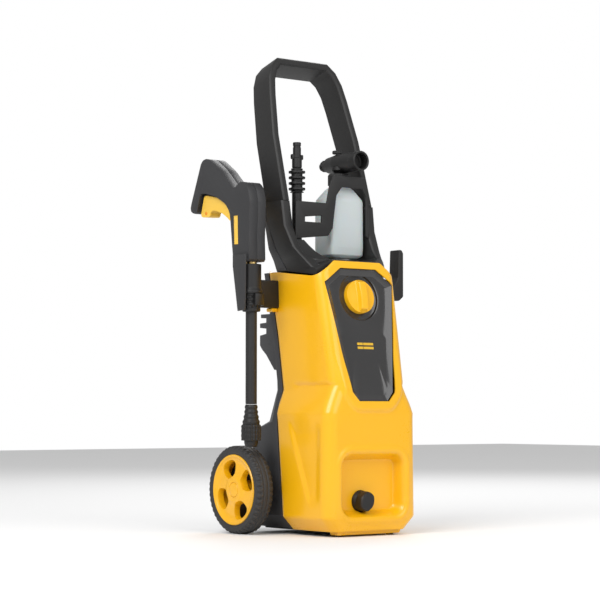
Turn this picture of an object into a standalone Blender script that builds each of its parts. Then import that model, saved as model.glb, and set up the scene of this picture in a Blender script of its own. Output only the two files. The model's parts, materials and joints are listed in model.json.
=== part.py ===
# Upright electric pressure washer: an assembly of separate pieces, in metres, +Z up.
# Design frame: x = 0 is the body's mid-plane, -Y is the front, z = 0 is the floor.
# The root empty carries the whole assembly so that its box stands centred on the origin.
import math

import bmesh
import bpy
from mathutils import Matrix, Vector

gap = 0.0004            # between pieces that touch
running = 0.0003        # between a shaft and its bore

# Wheels and axle
wheel_radius = 0.080
wheel_width = 0.036
rim_radius = 0.0640
axle_radius = 0.0060
axle_y = 0.078
hub_radius = 0.018
window_radius = 0.0095

# Body
cover_wall = 0.0026
lower_half = 0.102      # half-width of the swelling lower body
wheel_face = lower_half + 0.063   # outer face of each wheel from the mid-plane
waist_half = 0.082      # half-width above the shoulders
top_half = 0.087
front_y = -0.1235       # front face of the lower body
floor_gap = 0.011       # underside of the body above the floor
shoulder_low = 0.218
shoulder_high = 0.262
top_front = 0.4925      # top edge of the front face
side_front = 0.466      # top edge of the sides, at the front and at the seam
side_back = 0.478
waist_y = -0.120        # front face above the shoulders
lean_top_y = -0.077     # front face at its top edge
corner = 0.020
back_y = 0.108
arch_back_y = 0.122
arch_top = 0.186
recess_half = 0.075
recess_low = 0.032
recess_high = 0.150
recess_depth = 0.022
recess_slope = 0.014
tray_wall = 0.003
tray_low = 0.008
tray_high = 0.056

outlet_x = -0.014
outlet_z = 0.062
outlet_radius = 0.0195
outlet_reach = 0.026
inlet_z = 0.050

# Control panel and knob
panel_top = 0.480
panel_wide_z = 0.454
panel_low = 0.240
panel_top_half = 0.041
panel_wide_half = 0.078
panel_low_half = 0.049
panel_depth = 0.0030
well_z = 0.430
well_radius = 0.043
knob_radius = 0.0305
knob_height = 0.022
well_depth = 0.010
stem_radius = 0.005

# Handle
handle_lean = math.radians(15.9)
handle_depth = 0.058
handle_thick = 0.014
handle_join_z = 0.607
handle_join_y = 0.034
tongue_length = 0.030
tongue_inset = 0.003

# Spray gun
gun_x = 0.004 - wheel_face        # mid-plane of the gun
gun_half = 0.018
lance_y = 0.026
lance_radius = 0.0100
lance_bore = 0.0032
tip_low = 2 * wheel_radius - 0.002     # the nozzle ends just below the wheel's top
trigger_half = 0.0115
slot_clearance = 0.0015
sleeve_radius = 0.0165
sleeve_upper = sleeve_radius + 0.0015
sleeve_lip = sleeve_radius + 0.004     # the lip sits on the holder's ring
fin_inner = sleeve_lip + 0.001         # fin beside the sleeve, from the gun's mid-plane
fin_outer = fin_inner + 0.003

# Pump unit, on one upright axis
pump_y = -0.004
motor_low = 0.216
motor_high = 0.343
motor_radius = 0.052
rotor_radius = 0.040
bell_wall = 0.009
shaft_radius = 0.006
crank_low = 0.150
crank_radius = 0.036
head_low = 0.032
head_radius = 0.033
piston_radius = 0.006
piston_count = 3
piston_circle = 0.018
pipe_radius = 0.007

# Top housing (yoke), braces and hook
leg_top = handle_join_z - gap
brace_foot_y = 0.0192
brace_foot_z = 0.477
brace_slope = 0.38
slab_front_y = -0.0680
slab_back_y = 0.060
slab_half = top_half - 0.0005
hook_pivot_z = 0.445
hook_y = 0.004
hook_half = 0.014
hook_reach = top_half + 0.081
hook_thick = 0.011
hook_tip = 0.528

# Accessories
holder_y = -0.0055
holder_half = 0.002
bottle_x = 0.0420
bottle_y = 0.0275
bottle_half = 0.0395
bottle_deep = 0.0285
bottle_low = 0.507
bottle_shoulder = 0.618
bottle_high = 0.640
foam_z = 0.687
foam_radius = 0.0185
spare_x = -0.055
spare_y = 0.030
spare_radius = 0.0092
spare_low = 0.5075
spare_top = 0.719


def clear_scene():
    for thing in list(bpy.data.objects):
        bpy.data.objects.remove(thing, do_unlink=True)


clear_scene()
parts = bpy.data.collections.new("pressure_washer")
cutters = bpy.data.collections.new("cutters")
bpy.context.scene.collection.children.link(parts)
bpy.context.scene.collection.children.link(cutters)
root = bpy.data.objects.new("washer_root", None)
parts.objects.link(root)

palette = {
    "yellow": ((0.85, 0.48, 0.01), 0.32, 0.0),
    "black": ((0.020, 0.020, 0.021), 0.55, 0.0),
    "dark_grey": ((0.055, 0.055, 0.057), 0.60, 0.0),
    "gloss_black": ((0.012, 0.012, 0.013), 0.15, 0.0),
    "rubber": ((0.025, 0.025, 0.026), 0.85, 0.0),
    "steel": ((0.55, 0.55, 0.56), 0.30, 1.0),
    "aluminium": ((0.62, 0.63, 0.65), 0.35, 1.0),
    "brass": ((0.70, 0.50, 0.18), 0.30, 1.0),
    "copper": ((0.75, 0.34, 0.16), 0.35, 1.0),
    "bottle_white": ((0.80, 0.82, 0.82), 0.45, 0.0),
}


def finish(obj, tone):
    colour, roughness, metallic = palette[tone]
    mat = bpy.data.materials.new(obj.name + "_" + tone)
    mat.use_nodes = True
    shader = mat.node_tree.nodes["Principled BSDF"]
    shader.inputs["Base Color"].default_value = (*colour, 1.0)
    shader.inputs["Roughness"].default_value = roughness
    shader.inputs["Metallic"].default_value = metallic
    mat.diffuse_color = (*colour, 1.0)
    obj.data.materials.clear()
    obj.data.materials.append(mat)


def place(name, mesh, tone, pivot=(0, 0, 0), smooth=True):
    """Make a part from a mesh in design coordinates, with its origin at the pivot."""
    mesh.transform(Matrix.Translation(-Vector(pivot)))
    obj = bpy.data.objects.new(name, mesh)
    parts.objects.link(obj)
    obj.parent = root
    obj.location = pivot
    finish(obj, tone)
    if smooth:
        mesh.shade_smooth()
        mesh.set_sharp_from_angle(angle=math.radians(35))
    return obj


def from_bmesh(bm):
    bmesh.ops.recalc_face_normals(bm, faces=bm.faces)
    mesh = bpy.data.meshes.new("shape")
    bm.to_mesh(mesh)
    bm.free()
    return mesh


def box_mesh(low, high, bevel=0.0, segments=1):
    bm = bmesh.new()
    bmesh.ops.create_cube(bm, size=1.0)
    low, high = Vector(low), Vector(high)
    bmesh.ops.scale(bm, vec=high - low, verts=bm.verts)
    bmesh.ops.translate(bm, vec=(low + high) / 2, verts=bm.verts)
    if bevel:
        bmesh.ops.bevel(bm, geom=list(bm.edges), offset=bevel, segments=segments,
                        affect="EDGES", profile=0.5)
    return from_bmesh(bm)


def turn_to(axis):
    """Rotation that carries local +Z onto the named world axis."""
    turns = {"+Z": Matrix.Identity(4),
             "-Y": Matrix.Rotation(math.radians(90), 4, "X"),
             "+Y": Matrix.Rotation(math.radians(-90), 4, "X"),
             "+X": Matrix.Rotation(math.radians(90), 4, "Y"),
             "-X": Matrix.Rotation(math.radians(-90), 4, "Y")}
    return turns[axis] if isinstance(axis, str) else Vector((0, 0, 1)).rotation_difference(
        Vector(axis)).to_matrix().to_4x4()


def turned_mesh(profile, centre, axis="+Z", steps=32):
    """Solid of revolution. The profile is (radius, height) from top to bottom, down its
    outer side; a ring's profile closes on itself up its bore."""
    ring = min(radius for radius, height in profile) > 0
    bm = bmesh.new()
    verts = [bm.verts.new((radius, 0, height)) for radius, height in profile]
    for first, second in zip(verts, verts[1:]):
        bm.edges.new((first, second))
    if ring:
        bm.edges.new((verts[-1], verts[0]))
    mesh = bpy.data.meshes.new("profile")
    bm.to_mesh(mesh)
    bm.free()
    maker = bpy.data.objects.new("turning", mesh)
    parts.objects.link(maker)
    screw = maker.modifiers.new("screw", "SCREW")
    screw.axis = "Z"
    screw.steps = screw.render_steps = steps
    screw.use_merge_vertices = True
    screw.merge_threshold = 0.00001
    result = settle(maker)
    result.transform(Matrix.Translation(Vector(centre)) @ turn_to(axis))
    return result


def settle(maker):
    """Mesh of an object with its modifiers or its curve worked out; the object goes."""
    view = bpy.context.view_layer
    view.update()
    seen = maker.evaluated_get(view.depsgraph)
    mesh = bpy.data.meshes.new_from_object(seen)
    mesh.transform(maker.matrix_world)
    bpy.data.objects.remove(maker, do_unlink=True)
    bm = bmesh.new()
    bm.from_mesh(mesh)
    bmesh.ops.remove_doubles(bm, verts=bm.verts, dist=0.00001)
    bmesh.ops.recalc_face_normals(bm, faces=bm.faces)
    bm.to_mesh(mesh)
    bm.free()
    mesh.materials.clear()
    return mesh


planes = {"XZ": Matrix(((1, 0, 0, 0), (0, 0, -1, 0), (0, 1, 0, 0), (0, 0, 0, 1))),
          "YZ": Matrix(((0, 0, 1, 0), (1, 0, 0, 0), (0, 1, 0, 0), (0, 0, 0, 1))),
          "XY": Matrix.Identity(4)}


def plate_mesh(outlines, low, high, plane):
    """Flat outline(s) filled and extruded from low to high along the plane's normal."""
    curve = bpy.data.curves.new("outline", "CURVE")
    curve.dimensions = "2D"
    curve.fill_mode = "BOTH"
    curve.extrude = (high - low) / 2
    for outline in outlines:
        spline = curve.splines.new("POLY")
        spline.points.add(len(outline) - 1)
        for point, (first, second) in zip(spline.points, outline):
            point.co = (first, second, 0, 1)
        spline.use_cyclic_u = True
    maker = bpy.data.objects.new("plate", curve)
    parts.objects.link(maker)
    mesh = settle(maker)
    shift = (low + high) / 2
    direction = -1 if plane == "XZ" else 1
    mesh.transform(planes[plane] @ Matrix.Translation((0, 0, direction * shift)))
    return mesh


def rounded(points, radius, steps=3):
    """Outline with each corner replaced by an arc; radius may be one value or a list."""
    radii = radius if isinstance(radius, (list, tuple)) else [radius] * len(points)
    outline = []
    for index, (point, size) in enumerate(zip(points, radii)):
        here = Vector(point)
        before = Vector(points[index - 1]) - here
        after = Vector(points[(index + 1) % len(points)]) - here
        reach = min(size, before.length * 0.49, after.length * 0.49)
        if reach <= 0:
            outline.append(tuple(here))
            continue
        start = here + before.normalized() * reach
        end = here + after.normalized() * reach
        for step in range(steps + 1):
            t = step / steps
            spot = start * (1 - t) ** 2 + here * 2 * t * (1 - t) + end * t ** 2
            outline.append(tuple(spot))
    return outline


def loft_mesh(rings):
    """Closed solid through rings of points that run alike; its ends are filled."""
    bm = bmesh.new()
    rows = [[bm.verts.new(point) for point in ring] for ring in rings]
    count = len(rows[0])
    for lower, upper in zip(rows, rows[1:]):
        for i in range(count):
            j = (i + 1) % count
            bm.faces.new((lower[i], lower[j], upper[j], upper[i]))
    bm.faces.new(rows[0])
    bm.faces.new(rows[-1])
    return from_bmesh(bm)


def sheet_part(name, rows, thickness, tone):
    """Shell from the rows of its right half: mirrored, then given its wall inwards."""
    bm = bmesh.new()
    grid = [[bm.verts.new(point) for point in row] for row in rows]
    for lower, upper in zip(grid, grid[1:]):
        for i in range(len(lower) - 1):
            bm.faces.new((lower[i], lower[i + 1], upper[i + 1], upper[i]))
    mesh = bpy.data.meshes.new(name)
    bm.to_mesh(mesh)
    bm.free()
    shell = place(name, mesh, tone)
    mirror = shell.modifiers.new("mirror", "MIRROR")
    mirror.merge_threshold = 0.00001
    solid = shell.modifiers.new("wall", "SOLIDIFY")
    solid.thickness = thickness
    solid.offset = -1
    return shell


def tube_mesh(points, radius, resolution=2):
    curve = bpy.data.curves.new("tube", "CURVE")
    curve.dimensions = "3D"
    curve.bevel_depth = radius
    curve.bevel_resolution = resolution
    curve.use_fill_caps = True
    spline = curve.splines.new("POLY")
    spline.points.add(len(points) - 1)
    for point, spot in zip(spline.points, points):
        point.co = (*spot, 1)
    maker = bpy.data.objects.new("tube", curve)
    parts.objects.link(maker)
    return settle(maker)


def boolean(target, mesh, operation="DIFFERENCE"):
    tool = bpy.data.objects.new(target.name + "_tool", mesh)
    cutters.objects.link(tool)
    tool.parent = root
    tool.hide_render = True
    tool.display_type = "WIRE"
    step = target.modifiers.new(operation.lower(), "BOOLEAN")
    step.operation = operation
    step.solver = "EXACT"
    step.object = tool


def disc(centre, axis, radius, low, high, steps=24):
    """Plain cylinder from low to high along the axis through the centre."""
    return turned_mesh([(0, high), (radius, high), (radius, low), (0, low)], centre, axis, steps)


def ring(centre, axis, outer, inner, low, high, steps=24):
    return turned_mesh([(inner, high), (outer, high), (outer, low), (inner, low)],
                       centre, axis, steps)


def read(table, height):
    """Value at a height, straight between the rows of (height, value)."""
    for (low, first), (high, second) in zip(table, table[1:]):
        if height <= high:
            t = max(0.0, (height - low) / (high - low))
            return first + (second - first) * t
    return table[-1][1]


# The body's outline against height: half-width, front face, and where the cover ends
half_width = [(floor_gap, lower_half - 0.021), (0.034, lower_half), (shoulder_low, lower_half - 0.002),
              (shoulder_high, waist_half), (0.460, top_half), (top_front, top_half)]
front_line = [(floor_gap, front_y + 0.004), (0.034, front_y), (shoulder_low, front_y),
              (shoulder_high, waist_y), (top_front, lean_top_y)]
seam_line = [(floor_gap, 0.009), (shoulder_high, 0.037), (0.360, 0.050), (side_back, 0.074)]


def cover_row(height):
    """Right half of the cover's plan at a height, from the front's middle to the seam."""
    half, front, seam = read(half_width, height), read(front_line, height), read(seam_line, height)
    inner = recess_low + recess_slope - gap < height < recess_high - recess_slope + gap
    sink = recess_depth if inner else 0.0
    edge = min(recess_half, half - corner - 0.004)
    row = [(0, front + sink), (edge - recess_slope, front + sink), (edge, front)]
    for angle in (0, 30, 60, 90):
        turn = math.radians(angle)
        row.append((half - corner + corner * math.sin(turn),
                    front + corner - corner * math.cos(turn)))
    row += [(half, (front + seam) / 2), (half, seam)]
    return row


def front_cover():
    heights = [floor_gap, recess_low, recess_low + recess_slope, recess_high - recess_slope,
               recess_high, shoulder_low, shoulder_high, 0.360, 0.440]
    rows = [[(x, y, height) for x, y in cover_row(height)] for height in heights]
    rows.append(top_row())
    cover = sheet_part("front_cover", rows, cover_wall, "yellow")
    lip = [(front_y + 0.0065, floor_gap + 0.002), (front_y + 0.010, 0.003), (-0.090, 0.003),
           (-0.0875, floor_gap + 0.002)]
    lip_half = lower_half - 0.028
    boolean(cover, plate_mesh([lip], -lip_half, lip_half, "YZ"), "UNION")
    boolean(cover, panel_prism(gap, 0.030, -0.030))
    boolean(cover, disc((outlet_x, front_y, outlet_z), "+Y", outlet_radius + gap, 0, 0.06))
    return cover


def top_row():
    """Top edge of the cover: an eight-sided rise in front, then up along the sides."""
    heights = [top_front, top_front, top_front - 0.016] + [side_front] * 4
    heights += [(side_front + side_back) / 2, side_back]
    return [(x, y, height) for (x, y), height in zip(cover_row(top_front), heights)]


def face_frame():
    """Frame of the panel: origin on the front face at the well, +Z out of the face."""
    slope = (lean_top_y - waist_y) / (top_front - shoulder_high)
    normal = Vector((0, -1, slope)).normalized()
    up = Vector((0, slope, 1)).normalized()
    side = up.cross(normal)
    base = Vector((0, read(front_line, well_z), well_z))
    frame = Matrix((side, up, normal)).transposed().to_4x4()
    frame.translation = base
    return frame


def panel_outline(grow=0.0):
    """Panel's corners in its frame: x across, y up the face from the well."""
    stretch = 1.0 / math.cos(math.atan((lean_top_y - waist_y) / (top_front - shoulder_high)))
    corners = [(-panel_top_half, panel_top), (-panel_wide_half, panel_wide_z),
               (-panel_low_half - 0.004, panel_low + 0.016), (-panel_low_half + 0.012, panel_low),
               (panel_low_half - 0.012, panel_low), (panel_low_half + 0.004, panel_low + 0.016),
               (panel_wide_half, panel_wide_z), (panel_top_half, panel_top)]
    middle = (panel_top + panel_low) / 2
    outline = []
    for x, height in corners:
        y = (height - well_z) * stretch
        outline.append((x + math.copysign(grow, x), y + math.copysign(grow, height - middle)))
    return rounded(outline, 0.004, 2)


def panel_prism(grow, low, high):
    """Prism of the panel's outline, from low to high out of the front face."""
    mesh = plate_mesh([panel_outline(grow)], min(low, high), max(low, high), "XY")
    mesh.transform(face_frame())
    return mesh


def control_panel():
    panel = place("control_panel", panel_prism(0.0, -0.006, -0.002), "gloss_black")
    frame = face_frame()
    hollow = plate_mesh([panel_outline(-0.004)], -0.030, -0.0045, "XY")
    hollow.transform(frame)
    boolean(panel, hollow)
    well = disc((0, 0, 0), "+Z", well_radius + panel_depth, -well_depth - 0.004, -0.0030, 32)
    well.transform(frame)
    boolean(panel, well, "UNION")
    pocket = disc((0, 0, 0), "+Z", well_radius, -well_depth, 0.01, 32)
    pocket.transform(frame)
    boolean(panel, pocket)
    bore = disc((0, 0, 0), "+Z", stem_radius + running, -0.04, 0.01)
    bore.transform(frame)
    boolean(panel, bore)
    return panel


def power_knob():
    frame = face_frame()
    floor = -well_depth + gap
    dial = disc((0, 0, 0), "+Z", knob_radius, floor, floor + 0.013, 32)
    dial.transform(frame)
    knob = place("power_knob", dial, "yellow", frame.translation)
    ridge = box_mesh((-0.008, -knob_radius + 0.002, floor + 0.010),
                     (0.008, knob_radius - 0.002, floor + knob_height), 0.003)
    ridge.transform(frame)
    boolean(knob, ridge, "UNION")
    stem = disc((0, 0, 0), "+Z", stem_radius, floor - 0.014, floor + 0.004)
    stem.transform(frame)
    boolean(knob, stem, "UNION")


def switch_box():
    frame = face_frame()
    low = box_mesh((-0.018, -0.016, -0.066), (0.018, 0.016, -0.0345), 0.001)
    low.transform(frame)
    place("power_switch", low, "black")



# ---------------------------------------------------------------- body


def rear_row(height):
    """Right half of the rear housing's plan, from the seam round to the back's middle."""
    half, seam = read(half_width, height), read(seam_line, height) + gap
    if height < arch_top + gap:
        cut, back, straight = 0.018, arch_back_y, arch_back_y - 0.018
    else:
        cut, back, straight = 0.040, back_y, seam + 0.014
    return [(half, seam), (half, straight), (half - cut, back), (0, back)]


def rear_housing():
    heights = [floor_gap, 0.034, arch_top, arch_top + 0.018, shoulder_high, 0.360, side_back]
    rows = [[(x, y, height) for x, y in rear_row(height)] for height in heights]
    housing = sheet_part("rear_housing", rows, cover_wall, "dark_grey")
    for side in ("+X", "-X"):
        boss = disc((0, axle_y, wheel_radius), side, 0.0130, lower_half - 0.002,
                    wheel_face - wheel_width - 0.001, 20)
        boolean(housing, boss, "UNION")
    boolean(housing, disc((0, axle_y, wheel_radius), "+X", axle_radius + running, -wheel_face, wheel_face))
    boolean(housing, disc((0, arch_back_y, inlet_z), "+Y", 0.0125 + gap, -0.01, 0.01, 22))
    boolean(housing, disc((0.030, back_y, 0.330), "+Y", 0.007 + gap, -0.01, 0.01))


def base_tray():
    half, low_y, high_y = 0.0755, -0.086, 0.1000
    tray = place("base_tray", box_mesh((-half, low_y, tray_low), (half, high_y, tray_high)), "black")
    inner = ((-half + tray_wall, low_y + tray_wall, tray_low + tray_wall),
             (half - tray_wall, high_y - tray_wall, tray_high + 0.01))
    boolean(tray, box_mesh(*inner))
    for side in (-1, 1):
        near, far = sorted((side * (half - 0.010), side * (half - 0.001)))
        cheek = box_mesh((near, axle_y - 0.020, tray_low + 0.001), (far, axle_y + 0.020, 0.104))
        boolean(tray, cheek, "UNION")
    boolean(tray, disc((0, axle_y, wheel_radius), "+X", axle_radius + running, -0.1, 0.1))
    boolean(tray, disc((0, high_y, inlet_z), "+Y", pipe_radius + 0.001, -0.01, 0.01, 22))
    boolean(tray, disc((outlet_x, low_y, outlet_z), "+Y", 0.0130, -0.01, 0.01))


def foot_pads():
    """Rubber pads under the cover's front lip."""
    for side, name in ((-1, "foot_pad_left"), (1, "foot_pad_right")):
        pad = disc((side * 0.058, -0.099, 0), "+Z", 0.0065, 0, 0.003 - gap, 16)
        place(name, pad, "rubber")


def wheel(side, name):
    """Tyre, rim and cap of one wheel; each turns about the axle."""
    facing = "+X" if side > 0 else "-X"
    centre = (0, axle_y, wheel_radius)
    pivot = (side * (wheel_face - wheel_width / 2), axle_y, wheel_radius)
    low, high = wheel_face - wheel_width, wheel_face
    bead = rim_radius + gap
    shoulder = 0.004
    tyre = [(bead, high - 0.001), (wheel_radius - shoulder - 0.002, high),
            (wheel_radius, high - shoulder), (wheel_radius, low + shoulder),
            (wheel_radius - shoulder - 0.002, low), (bead, low + 0.001)]
    place(name + "_tyre", turned_mesh(tyre, centre, facing, 36), "rubber", pivot)
    bore = axle_radius + running
    web_high, web_low = high - 0.005, high - 0.012
    rim = [(0.0135, high - 0.0015), (hub_radius, high - 0.0015), (rim_radius - 0.007, web_high),
           (rim_radius - 0.004, high - 0.0008), (rim_radius, high - 0.0008), (rim_radius, low + 0.002),
           (rim_radius - 0.003, low + 0.002), (rim_radius - 0.005, web_low), (hub_radius, web_low),
           (hub_radius, low), (bore, low), (bore, high - 0.011), (0.0135, high - 0.011)]
    hub = place(name + "_rim", turned_mesh(rim, centre, facing, 28), "yellow", pivot)
    for turn in range(4):
        angle = math.radians(24 + 90 * turn)
        spot = (0, axle_y + 0.040 * math.cos(angle) * -side, wheel_radius + 0.040 * math.sin(angle))
        window = disc(spot, facing, window_radius, low, high + 0.01, 10)
        boolean(hub, window)
    place(name.replace("wheel", "axle_cap"), disc(centre, facing, 0.0135 - gap, high - 0.0068,
                                                  high - 0.0012, 24), "yellow")


def axle():
    reach = wheel_face - 0.0072
    place("axle", disc((0, axle_y, wheel_radius), "+X", axle_radius, -reach, reach), "steel")


# ---------------------------------------------------------------- top


def brace_front(height):
    return brace_foot_y + brace_slope * (height - brace_foot_z)


def rectangle(low_x, high_x, low_y, high_y, height, cut=0.003):
    """Level ring with cut corners, for lofting upwards."""
    return [(low_x + cut, low_y, height), (high_x - cut, low_y, height),
            (high_x, low_y + cut, height), (high_x, high_y - cut, height),
            (high_x - cut, high_y, height), (low_x + cut, high_y, height),
            (low_x, high_y - cut, height), (low_x, low_y + cut, height)]


def mirrored(ring_points, side):
    return [(side * x, y, z) for x, y, z in ring_points]


# Each leg against height: its inner and outer faces, measured out from the slab's side, and its front
leg_rows = [(height, slab_half + near, slab_half + far, front) for height, near, far, front in
            [(leg_top, 0.0015, 0.0215, 0.0055), (0.560, -0.0003, 0.0200, -0.0015),
             (0.520, -0.0015, 0.0150, -0.022), (0.5065, -0.0015, 0.0100, -0.034),
             (0.499, -0.0165, 0.0075, -0.042), (0.481, -0.0305, 0, -0.058)]]


def yoke():
    """Top housing: a slab across the body with two legs that carry the handle."""
    def section(y, half, low, top, slope):
        return [(-half, y, low), (-half, y, top - slope), (-half + 0.034, y, top),
                (half - 0.034, y, top), (half, y, top - slope), (half, y, low)]
    step = brace_front(side_back) - 0.001
    rings = [section(slab_front_y, slab_half - 0.002, side_front + 0.002, 0.4965, 0.020),
             section(-0.030, slab_half, side_front + 0.006, 0.500, 0.006),
             section(step, slab_half, side_back + gap, 0.504, 0.003),
             section(step + gap, slab_half - 0.018, side_back + gap, 0.504, 0.003),
             section(slab_back_y, slab_half - 0.018, side_back + gap, 0.506, 0.003),
             section(back_y - 0.001, slab_half - 0.043, side_back + gap, 0.498, 0.008)]
    slab = place("handle_yoke", loft_mesh(rings), "black")
    for side in (-1, 1):
        rows = []
        for height, near, far, front in leg_rows:
            rows.append(mirrored(rectangle(near, far, front, brace_front(height) - gap, height), side))
        boolean(slab, loft_mesh(rows), "UNION")
        boolean(slab, tongue_mesh(side, gap))
    well = disc((0, 0, 0), "+Z", well_radius + panel_depth + gap, -well_depth - 0.0045, 0.0, 32)
    well.transform(face_frame())
    boolean(slab, well)
    pocket = box_mesh((-0.050, slab_front_y + 0.006, 0.470), (0.050, slab_back_y, 0.490))
    boolean(slab, pocket)
    side_x = 0.0017 - slab_half
    curve = [(side_x, 0.4995), (-0.0060, 0.4995), (-0.0070, 0.5045), (-0.0200, 0.5080), (-0.0360, 0.5150),
             (-0.0520, 0.5260), (-0.0635, 0.5355), (side_x, 0.5365)]
    boolean(slab, plate_mesh([curve], holder_y + holder_half + gap, 0.044, "XZ"), "UNION")
    boolean(slab, disc((spare_x, spare_y, 0), "+Z", spare_radius + 0.0012, 0.496, 0.60, 20))


handle_path = [(slab_half + out, handle_join_z + rise) for out, rise in
               [(0.0105, 0), (0.0080, 0.119), (-0.0015, 0.198), (-0.0070, 0.229), (-0.0165, 0.251),
                (-0.0305, 0.2645)]]
bar_section = [(1, -1, 0, 1), (1, 1, 0, -1), (1, 1, -1, 0), (-1, 1, 1, 0),
               (-1, 1, 0, -1), (-1, -1, 0, 1), (-1, -1, 1, 0), (1, -1, -1, 0)]


def bar_points(half, deep, cut):
    """Corners of the bar's section, its edges cut: across the bar, and back from its middle."""
    return [(a * half + m * cut, b * deep + n * cut) for a, b, m, n in bar_section]


def handle_frame():
    """Loop of one flat bar, mitred round its corners, with a tongue at each foot."""
    path = [(-x, z) for x, z in handle_path] + [(x, z) for x, z in reversed(handle_path)]
    rings = [handle_ring(path, index) for index in range(1, len(path) - 1)]
    rings.insert(0, foot_ring(-1, 0.0, handle_join_z))
    rings.append(foot_ring(1, 0.0, handle_join_z))
    frame = place("handle_frame", loft_mesh(rings), "black")
    for side in (-1, 1):
        boolean(frame, tongue_mesh(side, 0.0), "UNION")


def foot_ring(side, inset, height):
    """Level cut of the bar at its foot, made smaller all round by the inset."""
    middle_y = handle_join_y + (height - handle_join_z) * math.tan(handle_lean)
    deep = handle_depth / 2 / math.cos(handle_lean) - inset
    return [(side * (handle_path[0][0] + across), middle_y + back, height)
            for across, back in bar_points(handle_thick / 2 - inset, deep, 0.003)]


def tongue_mesh(side, grow):
    """Tongue that goes down from the handle's foot into the yoke's leg; it tapers."""
    rings = []
    for height, squeeze in ((0.003, 1.0), (-0.0015, 0.94), (-tongue_length - grow, 0.60)):
        ring_points = foot_ring(side, tongue_inset - grow, handle_join_z)
        rings.append([(x, handle_join_y - 0.002 + (y - handle_join_y) * squeeze, handle_join_z + height)
                      for x, y, z in ring_points])
    return loft_mesh(rings)


def handle_ring(path, index):
    """Cut of the bar at one corner of its path, mitred between its two runs."""
    before, here, after = (Vector(path[i]) for i in (index - 1, index, index + 1))
    first, second = (here - before).normalized(), (after - here).normalized()
    tangent = (first + second).normalized()
    outward = Vector((-tangent.y, tangent.x))
    stretch = 1 / outward.dot(Vector((-first.y, first.x)))
    points = []
    for across, back in bar_points(handle_thick / 2, handle_depth / 2, 0.003):
        spot = here + outward * across * stretch
        points.append(handle_point(spot.x, spot.y, back))
    return points


def handle_point(x, height, deep):
    """Point of the handle's leaning plane, moved back square to that plane."""
    y = handle_join_y + (height - handle_join_z) * math.tan(handle_lean)
    return (x, y + deep * math.cos(handle_lean), height - deep * math.sin(handle_lean))


def handle_braces():
    for side, name in ((-1, "handle_brace_left"), (1, "handle_brace_right")):
        rows = []
        for height, near, far, deep in ((side_back + 2 * gap, -0.0145, 0, 0.0301),
                                        (0.4985, -0.0007, 0.0060, 0.0246), (0.520, -0.0003, 0.0145, 0.0205),
                                        (leg_top - 0.0086, 0.0035, 0.0200, 0.0033)):
            front = brace_front(height)
            rows.append(mirrored(rectangle(slab_half + near, slab_half + far, front, front + deep,
                                           height, 0.0006), side))
        place(name, loft_mesh(rows), "dark_grey")


def cord_hook():
    """Cord hook on the right side; it turns about its boss, along X."""
    inner = slab_half + 0.0012
    outline = [(inner, hook_pivot_z - 0.014), (hook_reach - 0.010, hook_pivot_z - 0.014),
               (hook_reach, hook_pivot_z - 0.006), (hook_reach, hook_tip - 0.006),
               (hook_reach - 0.004, hook_tip), (hook_reach - hook_thick, hook_tip),
               (hook_reach - hook_thick - 0.002, hook_pivot_z + 0.030),
               (hook_reach - hook_thick - 0.010, hook_pivot_z + 0.018),
               (inner, hook_pivot_z + 0.018)]
    low, high = hook_y - hook_half, hook_y + hook_half
    place("cord_hook", plate_mesh([outline], low, high, "XZ"), "black",
          (inner, hook_y, hook_pivot_z), smooth=False)


def gun_holder():
    """Bracket on the left side with an open ring that carries the gun's sleeve."""
    outer = -(top_half + gap)
    arm = box_mesh((gun_x + 0.0040, lance_y + 0.013, 0.412), (outer, lance_y + 0.036, 0.462), 0.002)
    holder = place("gun_holder", arm, "black")
    band = disc((gun_x, lance_y, 0), "+Z", sleeve_radius + 0.0065, 0.413, 0.434, 24)
    boolean(holder, band, "UNION")
    bore = sleeve_radius + 0.0015
    wide = sleeve_lip + 0.004
    room = turned_mesh([(0, 0.470), (wide, 0.470), (wide, 0.4345), (bore, 0.4345), (bore, 0.400),
                        (0, 0.400)], (gun_x, lance_y, 0), "+Z", 26)
    boolean(holder, room)
    mouth = box_mesh((gun_x - 0.040, lance_y - 0.030, 0.40), (gun_x - 0.0066, lance_y + 0.030, 0.47))
    boolean(holder, mouth)
    clip = box_mesh((outer - 0.016, lance_y + 0.016, 0.4045), (outer - 0.002, lance_y + 0.034, 0.4116),
                    0.0015)
    place("holder_clip", clip, "yellow")


def nozzle_rack():
    """Rack on the back's left: a fin with square notches for spare nozzles."""
    root_y, neck, tip = back_y + gap, 0.144, 0.164
    outline = [(root_y, 0.300), (0.118, 0.300), (neck, 0.329), (neck + 0.013, 0.339), (tip, 0.347),
               (tip, 0.366), (neck, 0.369), (neck, 0.3785), (tip, 0.3805), (tip, 0.3890),
               (neck, 0.390), (neck, 0.398), (tip - 0.003, 0.399), (tip - 0.003, 0.406),
               (root_y, 0.406)]
    place("nozzle_rack", plate_mesh([outline], -0.0425, -0.0385, "YZ"), "dark_grey", smooth=False)


# ---------------------------------------------------------------- water and drive


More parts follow.
